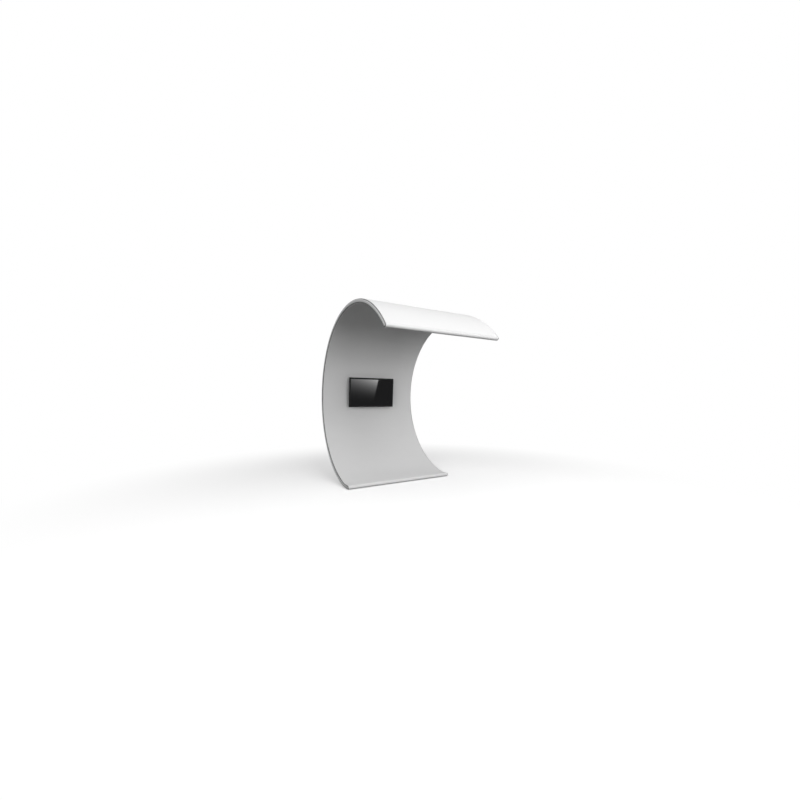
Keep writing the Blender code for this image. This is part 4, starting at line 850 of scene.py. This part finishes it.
def cloth_finish(name, rgb, pitch):
    """Matt knitted cloth: wales and rows, a faint mottle, and long soft tension ripples."""
    made, tree, shader, uv = material(
        name, "UV", Specular_IOR_Level=0.15, Sheen_Weight=0.12, Sheen_Roughness=0.6
    )
    knit = use(tree, "knit", uv, Pitch=pitch)
    cloudy = use(tree, "mottle", uv, Slow=1.6, Quick=240.0, Depth=0.03)
    # The knit's Shade darkens the colour in its valleys as painted shade; the mottle is a random
    # tone of the cloth.
    tint(tree, shader, rgb, knit["Shade"], cloudy["Value"])
    rough(tree, shader, knit["Height"], 0.86, 0.96)
    stretched = add(tree, "ShaderNodeMapping", {"Vector": uv, "Scale": (1.2, 5.0, 1.0)})
    wide = bump(tree, noise(tree, stretched.outputs[0], 1.5, 1.0), 0.004, 0.5)
    feed(tree, shader["Normal"], bump(tree, knit["Height"], 0.00010, 0.5, Normal=wide))
    return made


def tape_finish(name, rgb):
    """Woven tape or thread."""
    made, tree, shader, uv = material(name, "UV", Specular_IOR_Level=0.2, Sheen_Weight=0.1)
    weave = use(tree, "weave", uv, Pitch=0.0007)
    cloudy = use(tree, "mottle", uv, Slow=6.0, Quick=300.0, Depth=0.08)
    # The weave's Shade darkens the colour where the threads dip, as painted shade; the mottle is a
    # random tone of the tape.
    tint(tree, shader, rgb, weave["Shade"], cloudy["Value"])
    rough(tree, shader, weave["Height"], 0.75, 0.9)
    feed(tree, shader["Normal"], bump(tree, weave["Height"], 0.00010, 1.0))
    return made


def metal_finish(name, rgb, grain_scale, low, high, depth):
    """Metal with a drawn or cast grain; grain_scale stretches it along each axis."""
    made, tree, shader, place = material(name, "Object", Metallic=1.0)
    stretched = add(tree, "ShaderNodeMapping", {"Vector": place, "Scale": grain_scale})
    lines = use(tree, "scuffs", stretched.outputs[0], Scale=30.0, Amount=0.28)
    cloudy = use(tree, "mottle", place, Slow=5.0, Quick=180.0, Depth=0.12)
    tint(tree, shader, rgb, cloudy["Value"], maths(tree, "MULTIPLY_ADD", lines["Mask"], -0.12, 1.0))
    rough(tree, shader, lines["Height"], low, high)
    feed(tree, shader["Normal"], bump(tree, lines["Height"], depth, 0.6))
    return made


def coated_finish(name, rgb, low, high, depth, quick, coat=0.0, gloss=0.45):
    """Paint, rubber or moulded plastic: a fine pebble grain, faint dust and light scuffs."""
    made, tree, shader, place = material(
        name, "Object", Specular_IOR_Level=gloss, Coat_Weight=coat, Coat_Roughness=0.35
    )
    grain = use(tree, "mottle", place, Slow=7.0, Quick=quick, Depth=0.25)
    lines = use(tree, "scuffs", place, Scale=22.0, Amount=0.12)
    tint(tree, shader, rgb, grain["Value"], maths(tree, "MULTIPLY_ADD", lines["Mask"], 0.6, 1.0))
    rough(tree, shader, grain["Height"], low, high)
    feed(tree, shader["Normal"], bump(tree, grain["Height"], depth, 0.5))
    return made


def glass_finish(name, rgb):
    """The switched-off panel: near black, smooth, with a trace of smear in its gloss."""
    made, tree, shader, place = material(name, "Object", IOR=1.42, Specular_IOR_Level=0.5)
    smear = use(tree, "mottle", place, Slow=4.0, Quick=38.0, Depth=0.3)
    tint(tree, shader, rgb, smear["Value"])
    rough(tree, shader, smear["Height"], 0.02, 0.04)
    return made


# For each finish, its maker, its colour and the maker's further values. Words name settings.
EVEN = (1, 1, 1)
FINISH_TABLE = {
    "stretch_cloth": (cloth_finish, "cloth.cloth", "cloth.knit"),
    "strip_cloth": (cloth_finish, "cloth.strip", "cloth.knit"),
    "patch_cloth": (cloth_finish, "cloth.strip", "cloth.knit"),
    # The side seams' dark colour is painted shade for the crease at each seam.
    "seam_tape": (tape_finish, "cloth.seam"),
    "thread": (tape_finish, "cloth.thread"),
    "zip_tape": (tape_finish, "hardware.tape"),
    "zip_teeth": (coated_finish, (0.30, 0.30, 0.31), 0.35, 0.5, 0.00005, 600.0),
    "drawn_tube": (metal_finish, "hardware.tube", (1, 18, 18), 0.28, 0.45, 0.00003),
    "cast_fitting": (metal_finish, "hardware.casting", EVEN, 0.45, 0.65, 0.00020),
    "bright_steel": (metal_finish, "hardware.bright", EVEN, 0.22, 0.4, 0.00003),
    "dark_screws": (metal_finish, (0.10, 0.10, 0.105), EVEN, 0.3, 0.5, 0.00003),
    "powder_coat": (coated_finish, "hardware.powder", 0.42, 0.6, 0.00012, 500.0, 0.1),
    "pad_rubber": (coated_finish, "hardware.rubber", 0.7, 0.9, 0.0002, 300.0),
    "knob_plastic": (coated_finish, "hardware.plastic", 0.4, 0.55, 0.00010, 700.0),
    "screen_plastic": (coated_finish, "hardware.housing", 0.26, 0.36, 0.00004, 900.0, 0.0, 0.25),
    "screen_glass": (glass_finish, "hardware.glass"),
}
FINISHES = {}


def setting(value):
    """The value itself, or the setting that a word like cloth.seam names."""
    if not isinstance(value, str):
        return value
    kind, name = value.split(".")
    return getattr(getattr(bpy.context.scene, f"wall_{kind}"), name)


def finish(name):
    """The finish of this name, which is made once."""
    if name not in FINISHES:
        maker, *values = FINISH_TABLE[name]
        FINISHES[name] = maker(f"{name}_finish", *map(setting, values))
    return FINISHES[name]


def dress(obj, made):
    """Gives a piece its only material."""
    obj.data.materials.clear()
    obj.data.materials.append(made)
    return obj


def ride_wall(obj, name, body="wall"):
    """Finish and body of a new piece."""
    dress(obj, finish(name))
    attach(obj, body)
    return obj


def fixings(name, outline, sides, frames, metal="bright_steel", body="wall"):
    """One mesh of the same turned piece at several frames."""
    points, faces = lathe(outline, sides)
    everywhere = np.concatenate([in_frame(points, f) for f in frames])
    faces = np.concatenate([faces + i * len(points) for i in range(len(frames))])
    return ride_wall(merged(new_mesh(name, everywhere, faces)), metal, body)


# Operators


class WALL_OT_cloth(bpy.types.Operator):
    """Front and back panel and the side strips, stretched over the hoops"""

    bl_idname = "wall.cloth"
    bl_label = "Cloth"

    def execute(self, context):
        pull_in = context.scene.wall_cloth.pull_in
        even = HOOP_X * np.sin(np.linspace(-math.pi / 2, math.pi / 2, COLUMNS))
        columns = np.union1d(even, [s * STUD_X + e * STUD_HOLE for s, e in CORNERS])
        reach = np.array((STUD_HOLE, HOLE_REACH, STUD_HOLE))
        spots = [shifted(BRACKET, x, y, EDGE)[:3, 3] for x, y in STUDS]
        holes = [(spot - reach, spot + reach) for spot in spots]
        front = panel("cloth_front", *front_run(), columns, holes, pull_in)
        columns = np.union1d(even, [s * RISER.x + e * RISER_HOLE for s, e in CORNERS])
        reach = np.array((RISER_HOLE, HOLE_REACH, RISER_MIDDLE))
        spots = [np.array((side * RISER.x, RISER.y, RISER_MIDDLE)) for side in SIDES.values()]
        holes = [(spot - reach, spot + reach) for spot in spots]
        back = panel("cloth_back", *back_run(), columns, holes, -pull_in)
        for obj, node in ((front, "fabric_front_panel"), (back, "fabric_back_panel")):
            ride_wall(obj, "stretch_cloth")
            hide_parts(node)
        for word, side in SIDES.items():
            gusset = ride_wall(side_strip(f"cloth_strip_{word}", side), "strip_cloth")
            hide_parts(f"fabric_gusset_{word}")
        return {"FINISHED"}


class WALL_OT_seams(bpy.types.Operator):
    """Felled seams round both sides and behind the lip, and their two rows of stitches"""

    bl_idname = "wall.seams"
    bl_label = "Seams"

    def execute(self, context):
        cloth = context.scene.wall_cloth
        width, height = cloth.seam_width * LIP_WIDTH_SHARE, cloth.seam_height * LIP_HEIGHT_SHARE
        ride_wall(lip_seam("seam_lip", width, height), "strip_cloth")
        sewn = two_rows("stitches_lip", lip_spots, width, width, height, cloth.stitch)
        ride_wall(sewn, "thread")
        width, height = cloth.seam_width, cloth.seam_height
        for word, side in SIDES.items():
            # The side seams get the dark seam colour, which is painted shade in the crease between
            # panel and strip.
            ride_wall(seam_band(f"seam_{word}", side, width, height), "seam_tape")
            sewn = two_rows(f"stitches_{word}", seam_spots, side, width, height, cloth.stitch)
            ride_wall(sewn, "thread")
        return {"FINISHED"}


class WALL_OT_patches(bpy.types.Operator):
    """Round patches sewn on where the risers go through the back panel"""

    bl_idname = "wall.patches"
    bl_label = "Riser patches"

    def execute(self, context):
        lift = np.where(PATCH_RINGS < PATCH_RADIUS, ON_CLOTH, PATCH_EDGE_ON_CLOTH)
        turns = np.arange(PATCH_SIDES) * 2 * math.pi / PATCH_SIDES
        r, t = np.meshgrid(PATCH_RINGS, turns, indexing="ij")
        grid, _ = on_patch(r, t, lift[:, None] * np.ones_like(t))
        uv = np.stack((r * np.cos(t), r * np.sin(t)), -1)
        turns = np.arange(PATCH_STITCHES) * 2 * math.pi / PATCH_STITCHES
        even = np.ones(PATCH_STITCHES)
        spots, aims = on_patch(PATCH_SEAM * even, turns, PATCH_STITCH_RISE * even)
        around = unit(np.roll(spots, -1, axis=0) - np.roll(spots, 1, axis=0))
        for word, side in SIDES.items():
            shift = np.array((side * RISER.x, 0, 0))
            patch = shell(surface(f"riser_patch_cloth_{word}", grid + shift, uv, False, True))
            ride_wall(patch, "patch_cloth")
            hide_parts(f"riser_patch_{word}")
            sewn = stitches(f"patch_stitches_{word}", spots + shift, aims, around, PATCH_STITCH)
            ride_wall(sewn, "thread")
        return {"FINISHED"}


class WALL_OT_zip(bpy.types.Operator):
    """Two woven tapes with their rows of teeth, between the panels under the belly"""

    bl_idname = "wall.zip"
    bl_label = "Zip"

    def execute(self, context):
        base = arc_plane(ZIP_TURN, SAGITTA)
        x = np.linspace(-ZIP_END, ZIP_END, 151)[:, None]
        across = np.concatenate((TAPE_ACROSS, TAPE_ACROSS[::-1]))
        up = np.concatenate((np.minimum(TAPE_HALF, TAPE_FLAT), -TAPE_HALF[::-1])) + TAPE_MIDDLE
        count = int(2 * ZIP_END / TOOTH_PITCH) - 1
        tapers = np.where(BLOCK[:, 1] == 0, TOOTH_TAPER, 1.0)
        faces = np.arange(count)[:, None, None] * 8 + np.array(BLOCK_FACES)
        for word, sign in (("lower", -1), ("upper", 1)):
            grid = np.stack(np.broadcast_arrays(x, sign * across, up), -1)
            uv = np.stack((grid[..., 1], grid[..., 0]), -1)
            made = surface(f"zip_tape_cloth_{word}", in_frame(grid, base), uv, False, True)
            ride_wall(merged(made, close_ends=True), "zip_tape")
            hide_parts(f"zip_tape_{word}")
            at = (np.arange(count) + 0.5 + sign * 0.25) * TOOTH_PITCH - count * TOOTH_PITCH / 2
            tooth = (
                BLOCK[:, 0] * TOOTH_HALF * tapers,
                sign * (TOOTH_ROOT + BLOCK[:, 1] * TOOTH_REACH),
                TAPE_MIDDLE + BLOCK[:, 2] * TOOTH_HEIGHT * tapers,
            )
            points = np.stack(tooth, 1) + np.stack((at, 0 * at, 0 * at), 1)[:, None]
            row = new_mesh(f"zip_teeth_{word}", in_frame(points, base), faces.reshape(-1, 4))
            ride_wall(merged(row), "zip_teeth")
            row.data.polygons.foreach_set("use_smooth", np.zeros(len(row.data.polygons), bool))
        return {"FINISHED"}


class WALL_OT_zip_tabs(bpy.types.Operator):
    """Cloth tabs sewn over both ends of the zip"""

    bl_idname = "wall.zip_tabs"
    bl_label = "Zip end tabs"

    def execute(self, context):
        half = TAB_WIDTH / 2 / ROUND_SIDE
        rows = np.linspace(-1, 1, 19)
        x = np.linspace(HOOP_X - TAB_LENGTH, HOOP_X, 17)
        run = outer_arc(ZIP_TURN + rows * half)
        over_tape = soft((1 - np.abs(rows)) / TAB_HUMP_RAMP)[:, None]
        beside_tape = soft((ZIP_END + TAB_HUMP_FALL - x) / TAB_HUMP_FALL)[None, :]
        lift = run[2][:, None] + ON_CLOTH + TAB_HUMP * over_tape * beside_tape
        under_seam = context.scene.wall_cloth.seam_width * TAB_SEAM_SHARE / OFFSET
        turn = np.linspace(math.pi / 2, SEAM_TURN + under_seam, 7)[1:]
        u = np.concatenate((x, HOOP_X + OFFSET * (math.pi / 2 - turn)))
        for word, side in SIDES.items():
            flat = carried(run, x * side, lift)
            grid = np.concatenate((flat, over_tube(run, side, turn, TAB_ON_TUBE)), 1)
            tab = shell(surface(f"zip_tab_{word}", grid, flat_map(u, rows * TAB_WIDTH / 2)))
            ride_wall(tab, "strip_cloth")
            spots = grid[1:-1, 1]
            normals = np.insert(run[1][1:-1], 0, 0, axis=1)
            tangents = unit(np.gradient(spots, axis=0))
            spots = spots + normals * TAB_STITCH_RISE
            sewn = stitches(f"zip_tab_stitches_{word}", spots, normals, tangents, TAB_STITCH)
            ride_wall(sewn, "thread")
        return {"FINISHED"}


class WALL_OT_fixings(bpy.types.Operator):
    """Eyelets and nuts of the bracket's studs, and the bolts of the feet"""

    bl_idname = "wall.fixings"
    bl_label = "Fixings"

    def execute(self, context):
        turns = [(x, SCREEN_TURN + math.asin(y / HOLLOW_SIDE)) for x, y in STUDS]
        frames = [shifted(arc_plane(turn, OFFSET + SAGITTA), x, 0, 0) for x, turn in turns]
        fixings("stud_eyelets", EYELET, 32, frames)
        frames = [shifted(BRACKET, x, y, FRONT_FACE) for x, y in STUDS]
        fixings("stud_nuts", nut_outline(), 6, frames)
        turns = np.radians((45, 135, 225, 315))
        ring = np.stack((np.cos(turns), np.sin(turns), 0 * turns), 1) * BOLT_CIRCLE
        feet = [(side * RISER.x, RISER.y, FLANGE_TOP) for side in SIDES.values()]
        frames = [frame_at(foot + spot, *np.eye(3)) for foot in feet for spot in ring]
        fixings("foot_bolts", BOLT_HEAD, 20, frames)
        return {"FINISHED"}


class WALL_OT_screen(bpy.types.Operator):
    """Small screws of the screen's housing, and those that hold it to the arms"""

    bl_idname = "wall.screen"
    bl_label = "Screen"

    def execute(self, context):
        rear = FACE - COVER_EDGE
        frames = [shifted(SCREEN, x, y, rear, SCREEN_BACK) for x, y in COVER_SCREWS]
        fixings("cover_screws", FLAT_HEAD, 16, frames, "dark_screws", "screen")
        spots = [(x * SCREW_PITCH / 2, y * SCREW_PITCH / 2) for x, y in CORNERS]
        frames = [shifted(SCREEN, x, y, ARM_FLANGE, SCREEN_BACK) for x, y in spots]
        fixings("arm_screws", PAN_HEAD, 24, frames, body="screen")
        return {"FINISHED"}


class WALL_OT_finishes(bpy.types.Operator):
    """Finishes of every CAD node that stays"""

    bl_idname = "wall.finishes"
    bl_label = "Finishes"

    def execute(self, context):
        names = {"tube": "drawn_tube", "casting": "cast_fitting"}
        for part in frame["record"]["subparts"]:
            node = frame["nodes"][part["node"]]
            if not node.hide_render:
                slot = part["material_slot"]
                dress(node, finish(names.get(slot, slot)))
        return {"FINISHED"}


class WALL_OT_declare(bpy.types.Operator):
    """Looks up the cloth, sewing, patch and zip pieces by name and works out the strip's cut size,
    but records nothing
    """

    bl_idname = "wall.declare"
    bl_label = "Declare the cloth"

    def execute(self, context):
        get = bpy.data.objects.get
        sewing = [get(f"{n}_{w}") for n in ("seam", "stitches") for w in SIDES]
        sewing += [get("seam_lip"), get("stitches_lip"), get("stud_eyelets")]
        for word, (run, _) in {"front": front_run(), "back": back_run()}.items():
            get(f"cloth_{word}")
        strip_cut = 2 * SEAM_TURN * OFFSET, cloth_length(side_run())[-1] / 2 / STRETCH
        for word in SIDES:
            get(f"cloth_strip_{word}")
            get(f"riser_patch_cloth_{word}")
            get(f"patch_stitches_{word}")
            get(f"zip_tab_{word}")
            get(f"zip_tab_stitches_{word}")
        for word in ("lower", "upper"):
            get(f"zip_tape_cloth_{word}")
            get(f"zip_teeth_{word}")
        return {"FINISHED"}


class WALL_OT_stage(bpy.types.Operator):
    """Floor, lights, reflection cards and camera"""

    bl_idname = "wall.stage"
    bl_label = "Stage"

    def execute(self, context):
        stage = context.scene.wall_stage
        context.scene.view_settings.view_transform = "Standard"
        set_camera(context.scene, stage.lens)
        set_world(context.scene, stage.sky)
        set_floor(stage)
        for name, (place, aim, width, height) in LAMPS.items():
            area_light(f"{name}_light", place, aim, width, height, getattr(stage, name))
        for name in CARDS:
            set_card(name)
        return {"FINISHED"}


def set_camera(scene, lens):
    """A level camera, 30 degrees off the wall's middle line."""
    data = bpy.data.cameras.new("camera")
    data.sensor_width = 36
    data.lens = lens
    data.clip_end = 200
    camera = bpy.data.objects.new("camera", data)
    camera.location = CAMERA
    camera.rotation_euler = (math.radians(90), 0, CAMERA_TURN)
    scene.collection.objects.link(camera)
    scene.camera = camera


def seen_directly(tree):
    """1 for what the camera sees, mirrored and through glass too, and 0 for light on the wall."""
    path = add(tree, "ShaderNodeLightPath").outputs
    seen = maths(tree, "MAXIMUM", path["Is Camera Ray"], path["Is Transmission Ray"])
    return maths(tree, "MAXIMUM", seen, path["Is Glossy Ray"])


def glow(tree, strength, kind="ShaderNodeEmission"):
    """White light of this strength."""
    return add(tree, kind, {"Color": WHITE, "Strength": strength}).outputs[0]


def mixed(tree, share, first, second):
    """The first shader where the share is 0, and the second where it is 1."""
    return add(tree, "ShaderNodeMixShader", {0: share, 1: first, 2: second}).outputs[0]


def set_world(scene, sky):
    """White to the camera and in gloss, and an even grey light otherwise."""
    world = bpy.data.worlds.new("studio")
    scene.world = world
    world.use_nodes = True
    tree = world.node_tree
    tree.nodes.clear()
    lit, white = (glow(tree, strength, "ShaderNodeBackground") for strength in (sky, 1.0))
    shown = mixed(tree, seen_directly(tree), lit, white)
    add(tree, "ShaderNodeOutputWorld", {"Surface": shown})


def bare_material(obj):
    """Gives a stage piece a material of its name with an empty tree."""
    made = bpy.data.materials.new(obj.name)
    made.use_nodes = True
    made.node_tree.nodes.clear()
    dress(obj, made)
    return made.node_tree


def set_floor(stage):
    """A pale matt floor that keeps the shadow, fades to the white background far out, and gives
    little light back to the wall."""
    corners = [(x * FLOOR_REACH, y * FLOOR_REACH, -FLOOR_DROP) for x, y in CORNERS]
    floor = new_mesh("floor", corners, [(0, 2, 3, 1)])
    tree = bare_material(floor)
    place = add(tree, "ShaderNodeTexCoord").outputs["Object"]
    cloudy = use(tree, "mottle", place, Slow=0.7, Quick=25.0, Depth=0.01)
    sockets = {0: tuple(stage.floor), "Scale": cloudy["Value"]}
    tone = add(tree, "ShaderNodeVectorMath", sockets, operation="SCALE")
    pale = add(tree, "ShaderNodeBsdfDiffuse", {"Color": tone.outputs[0]}).outputs[0]
    dim = add(tree, "ShaderNodeBsdfDiffuse", {"Color": (*stage.bounce, 1)}).outputs[0]
    far = add(tree, "ShaderNodeVectorMath", {0: place}, operation="LENGTH").outputs["Value"]
    sockets = {"Value": far, "From Min": FADE_FROM, "From Max": FADE_TO}
    fade = add(tree, "ShaderNodeMapRange", sockets, interpolation_type="SMOOTHSTEP").outputs[0]
    lifted = add(tree, "ShaderNodeAddShader", {0: pale, 1: glow(tree, stage.lift)}).outputs[0]
    shown = mixed(tree, fade, lifted, glow(tree, 1.0))
    add(tree, "ShaderNodeOutputMaterial", {"Surface": mixed(tree, seen_directly(tree), dim, shown)})


def set_card(name):
    """A card that only gloss shows. Its corners are where the mirror image of the camera sees it
    through its patch of the glass. The bright one fades downwards and to one side."""
    spots, distance, strength = CARDS[name]
    normal, point = SCREEN[:3, 2], in_frame((0, 0, FACE), SCREEN)
    eye = np.array(CAMERA)
    mirror = eye - 2 * ((eye - point) @ normal) * normal
    spots = in_frame([(x, y, FACE) for x, y in spots], SCREEN)
    rays = spots - mirror
    corners = spots + rays * ((point[1] - distance - spots[:, 1:2]) / rays[:, 1:2])
    card = new_mesh(name, corners, [(0, 1, 2, 3)], [(0, 0), (1, 0), (1, 1), (0, 1)])
    tree = bare_material(card)
    level = strength
    if name == "bright_card":
        uv = add(tree, "ShaderNodeTexCoord").outputs["UV"]
        u, v, _ = add(tree, "ShaderNodeSeparateXYZ", {"Vector": uv}).outputs
        lean = maths(tree, "MULTIPLY_ADD", u, CARD_LEAN, 1 - CARD_LEAN)
        fall = maths(tree, "POWER", product(tree, v, lean), CARD_FADE)
        level = maths(tree, "MULTIPLY_ADD", fall, strength, DIM_GLOSS)
    add(tree, "ShaderNodeOutputMaterial", {"Surface": glow(tree, level)})
    card.visible_camera = card.visible_diffuse = card.visible_shadow = False
    card.visible_transmission = card.visible_volume_scatter = False


def area_light(name, place, aim, width, height, brightness):
    """A rectangle of even light turned to its aim, of brightness * pi * area watts."""
    data = bpy.data.lights.new(name, "AREA")
    data.shape = "RECTANGLE"
    data.size, data.size_y = width, height
    data.energy = brightness * math.pi * width * height
    light = bpy.data.objects.new(name, data)
    light.location = place
    ahead = Vector(aim) - Vector(place)
    light.rotation_euler = ahead.to_track_quat("-Z", "Y").to_euler()
    light.visible_glossy = False
    bpy.context.scene.collection.objects.link(light)


STEPS = (
    WALL_OT_stage,
    WALL_OT_cloth,
    WALL_OT_seams,
    WALL_OT_patches,
    WALL_OT_zip,
    WALL_OT_zip_tabs,
    WALL_OT_fixings,
    WALL_OT_screen,
    WALL_OT_finishes,
    WALL_OT_declare,
)
SETTINGS = {
    "wall_cloth": ClothSettings,
    "wall_hardware": HardwareSettings,
    "wall_stage": StageSettings,
}


class WALL_PT_panel(bpy.types.Panel):
    """Sidebar panel that lists the pieces and their settings"""

    bl_label = "Display wall"
    bl_idname = "WALL_PT_panel"
    bl_space_type = "VIEW_3D"
    bl_region_type = "UI"
    bl_category = "Display wall"

    def draw(self, context):
        for step in STEPS:
            self.layout.operator(step.bl_idname)
        for name, kind in SETTINGS.items():
            box = self.layout.box()
            for field in kind.__annotations__:
                box.prop(getattr(context.scene, name), field)


def register():
    """Makes the classes known and hangs the settings on the scene."""
    for kind in (*SETTINGS.values(), *STEPS, WALL_PT_panel):
        bpy.utils.register_class(kind)
    for name, kind in SETTINGS.items():
        setattr(bpy.types.Scene, name, bpy.props.PointerProperty(type=kind))


def unregister():
    """Takes the settings and the classes away again."""
    for name in SETTINGS:
        delattr(bpy.types.Scene, name)
    for kind in reversed((*SETTINGS.values(), *STEPS, WALL_PT_panel)):
        bpy.utils.unregister_class(kind)


def main():
    """Makes everything in order."""
    register()
    for step in STEPS:
        family, name = step.bl_idname.split(".")
        getattr(getattr(bpy.ops, family), name)()


if __name__ == "__main__":
    main()
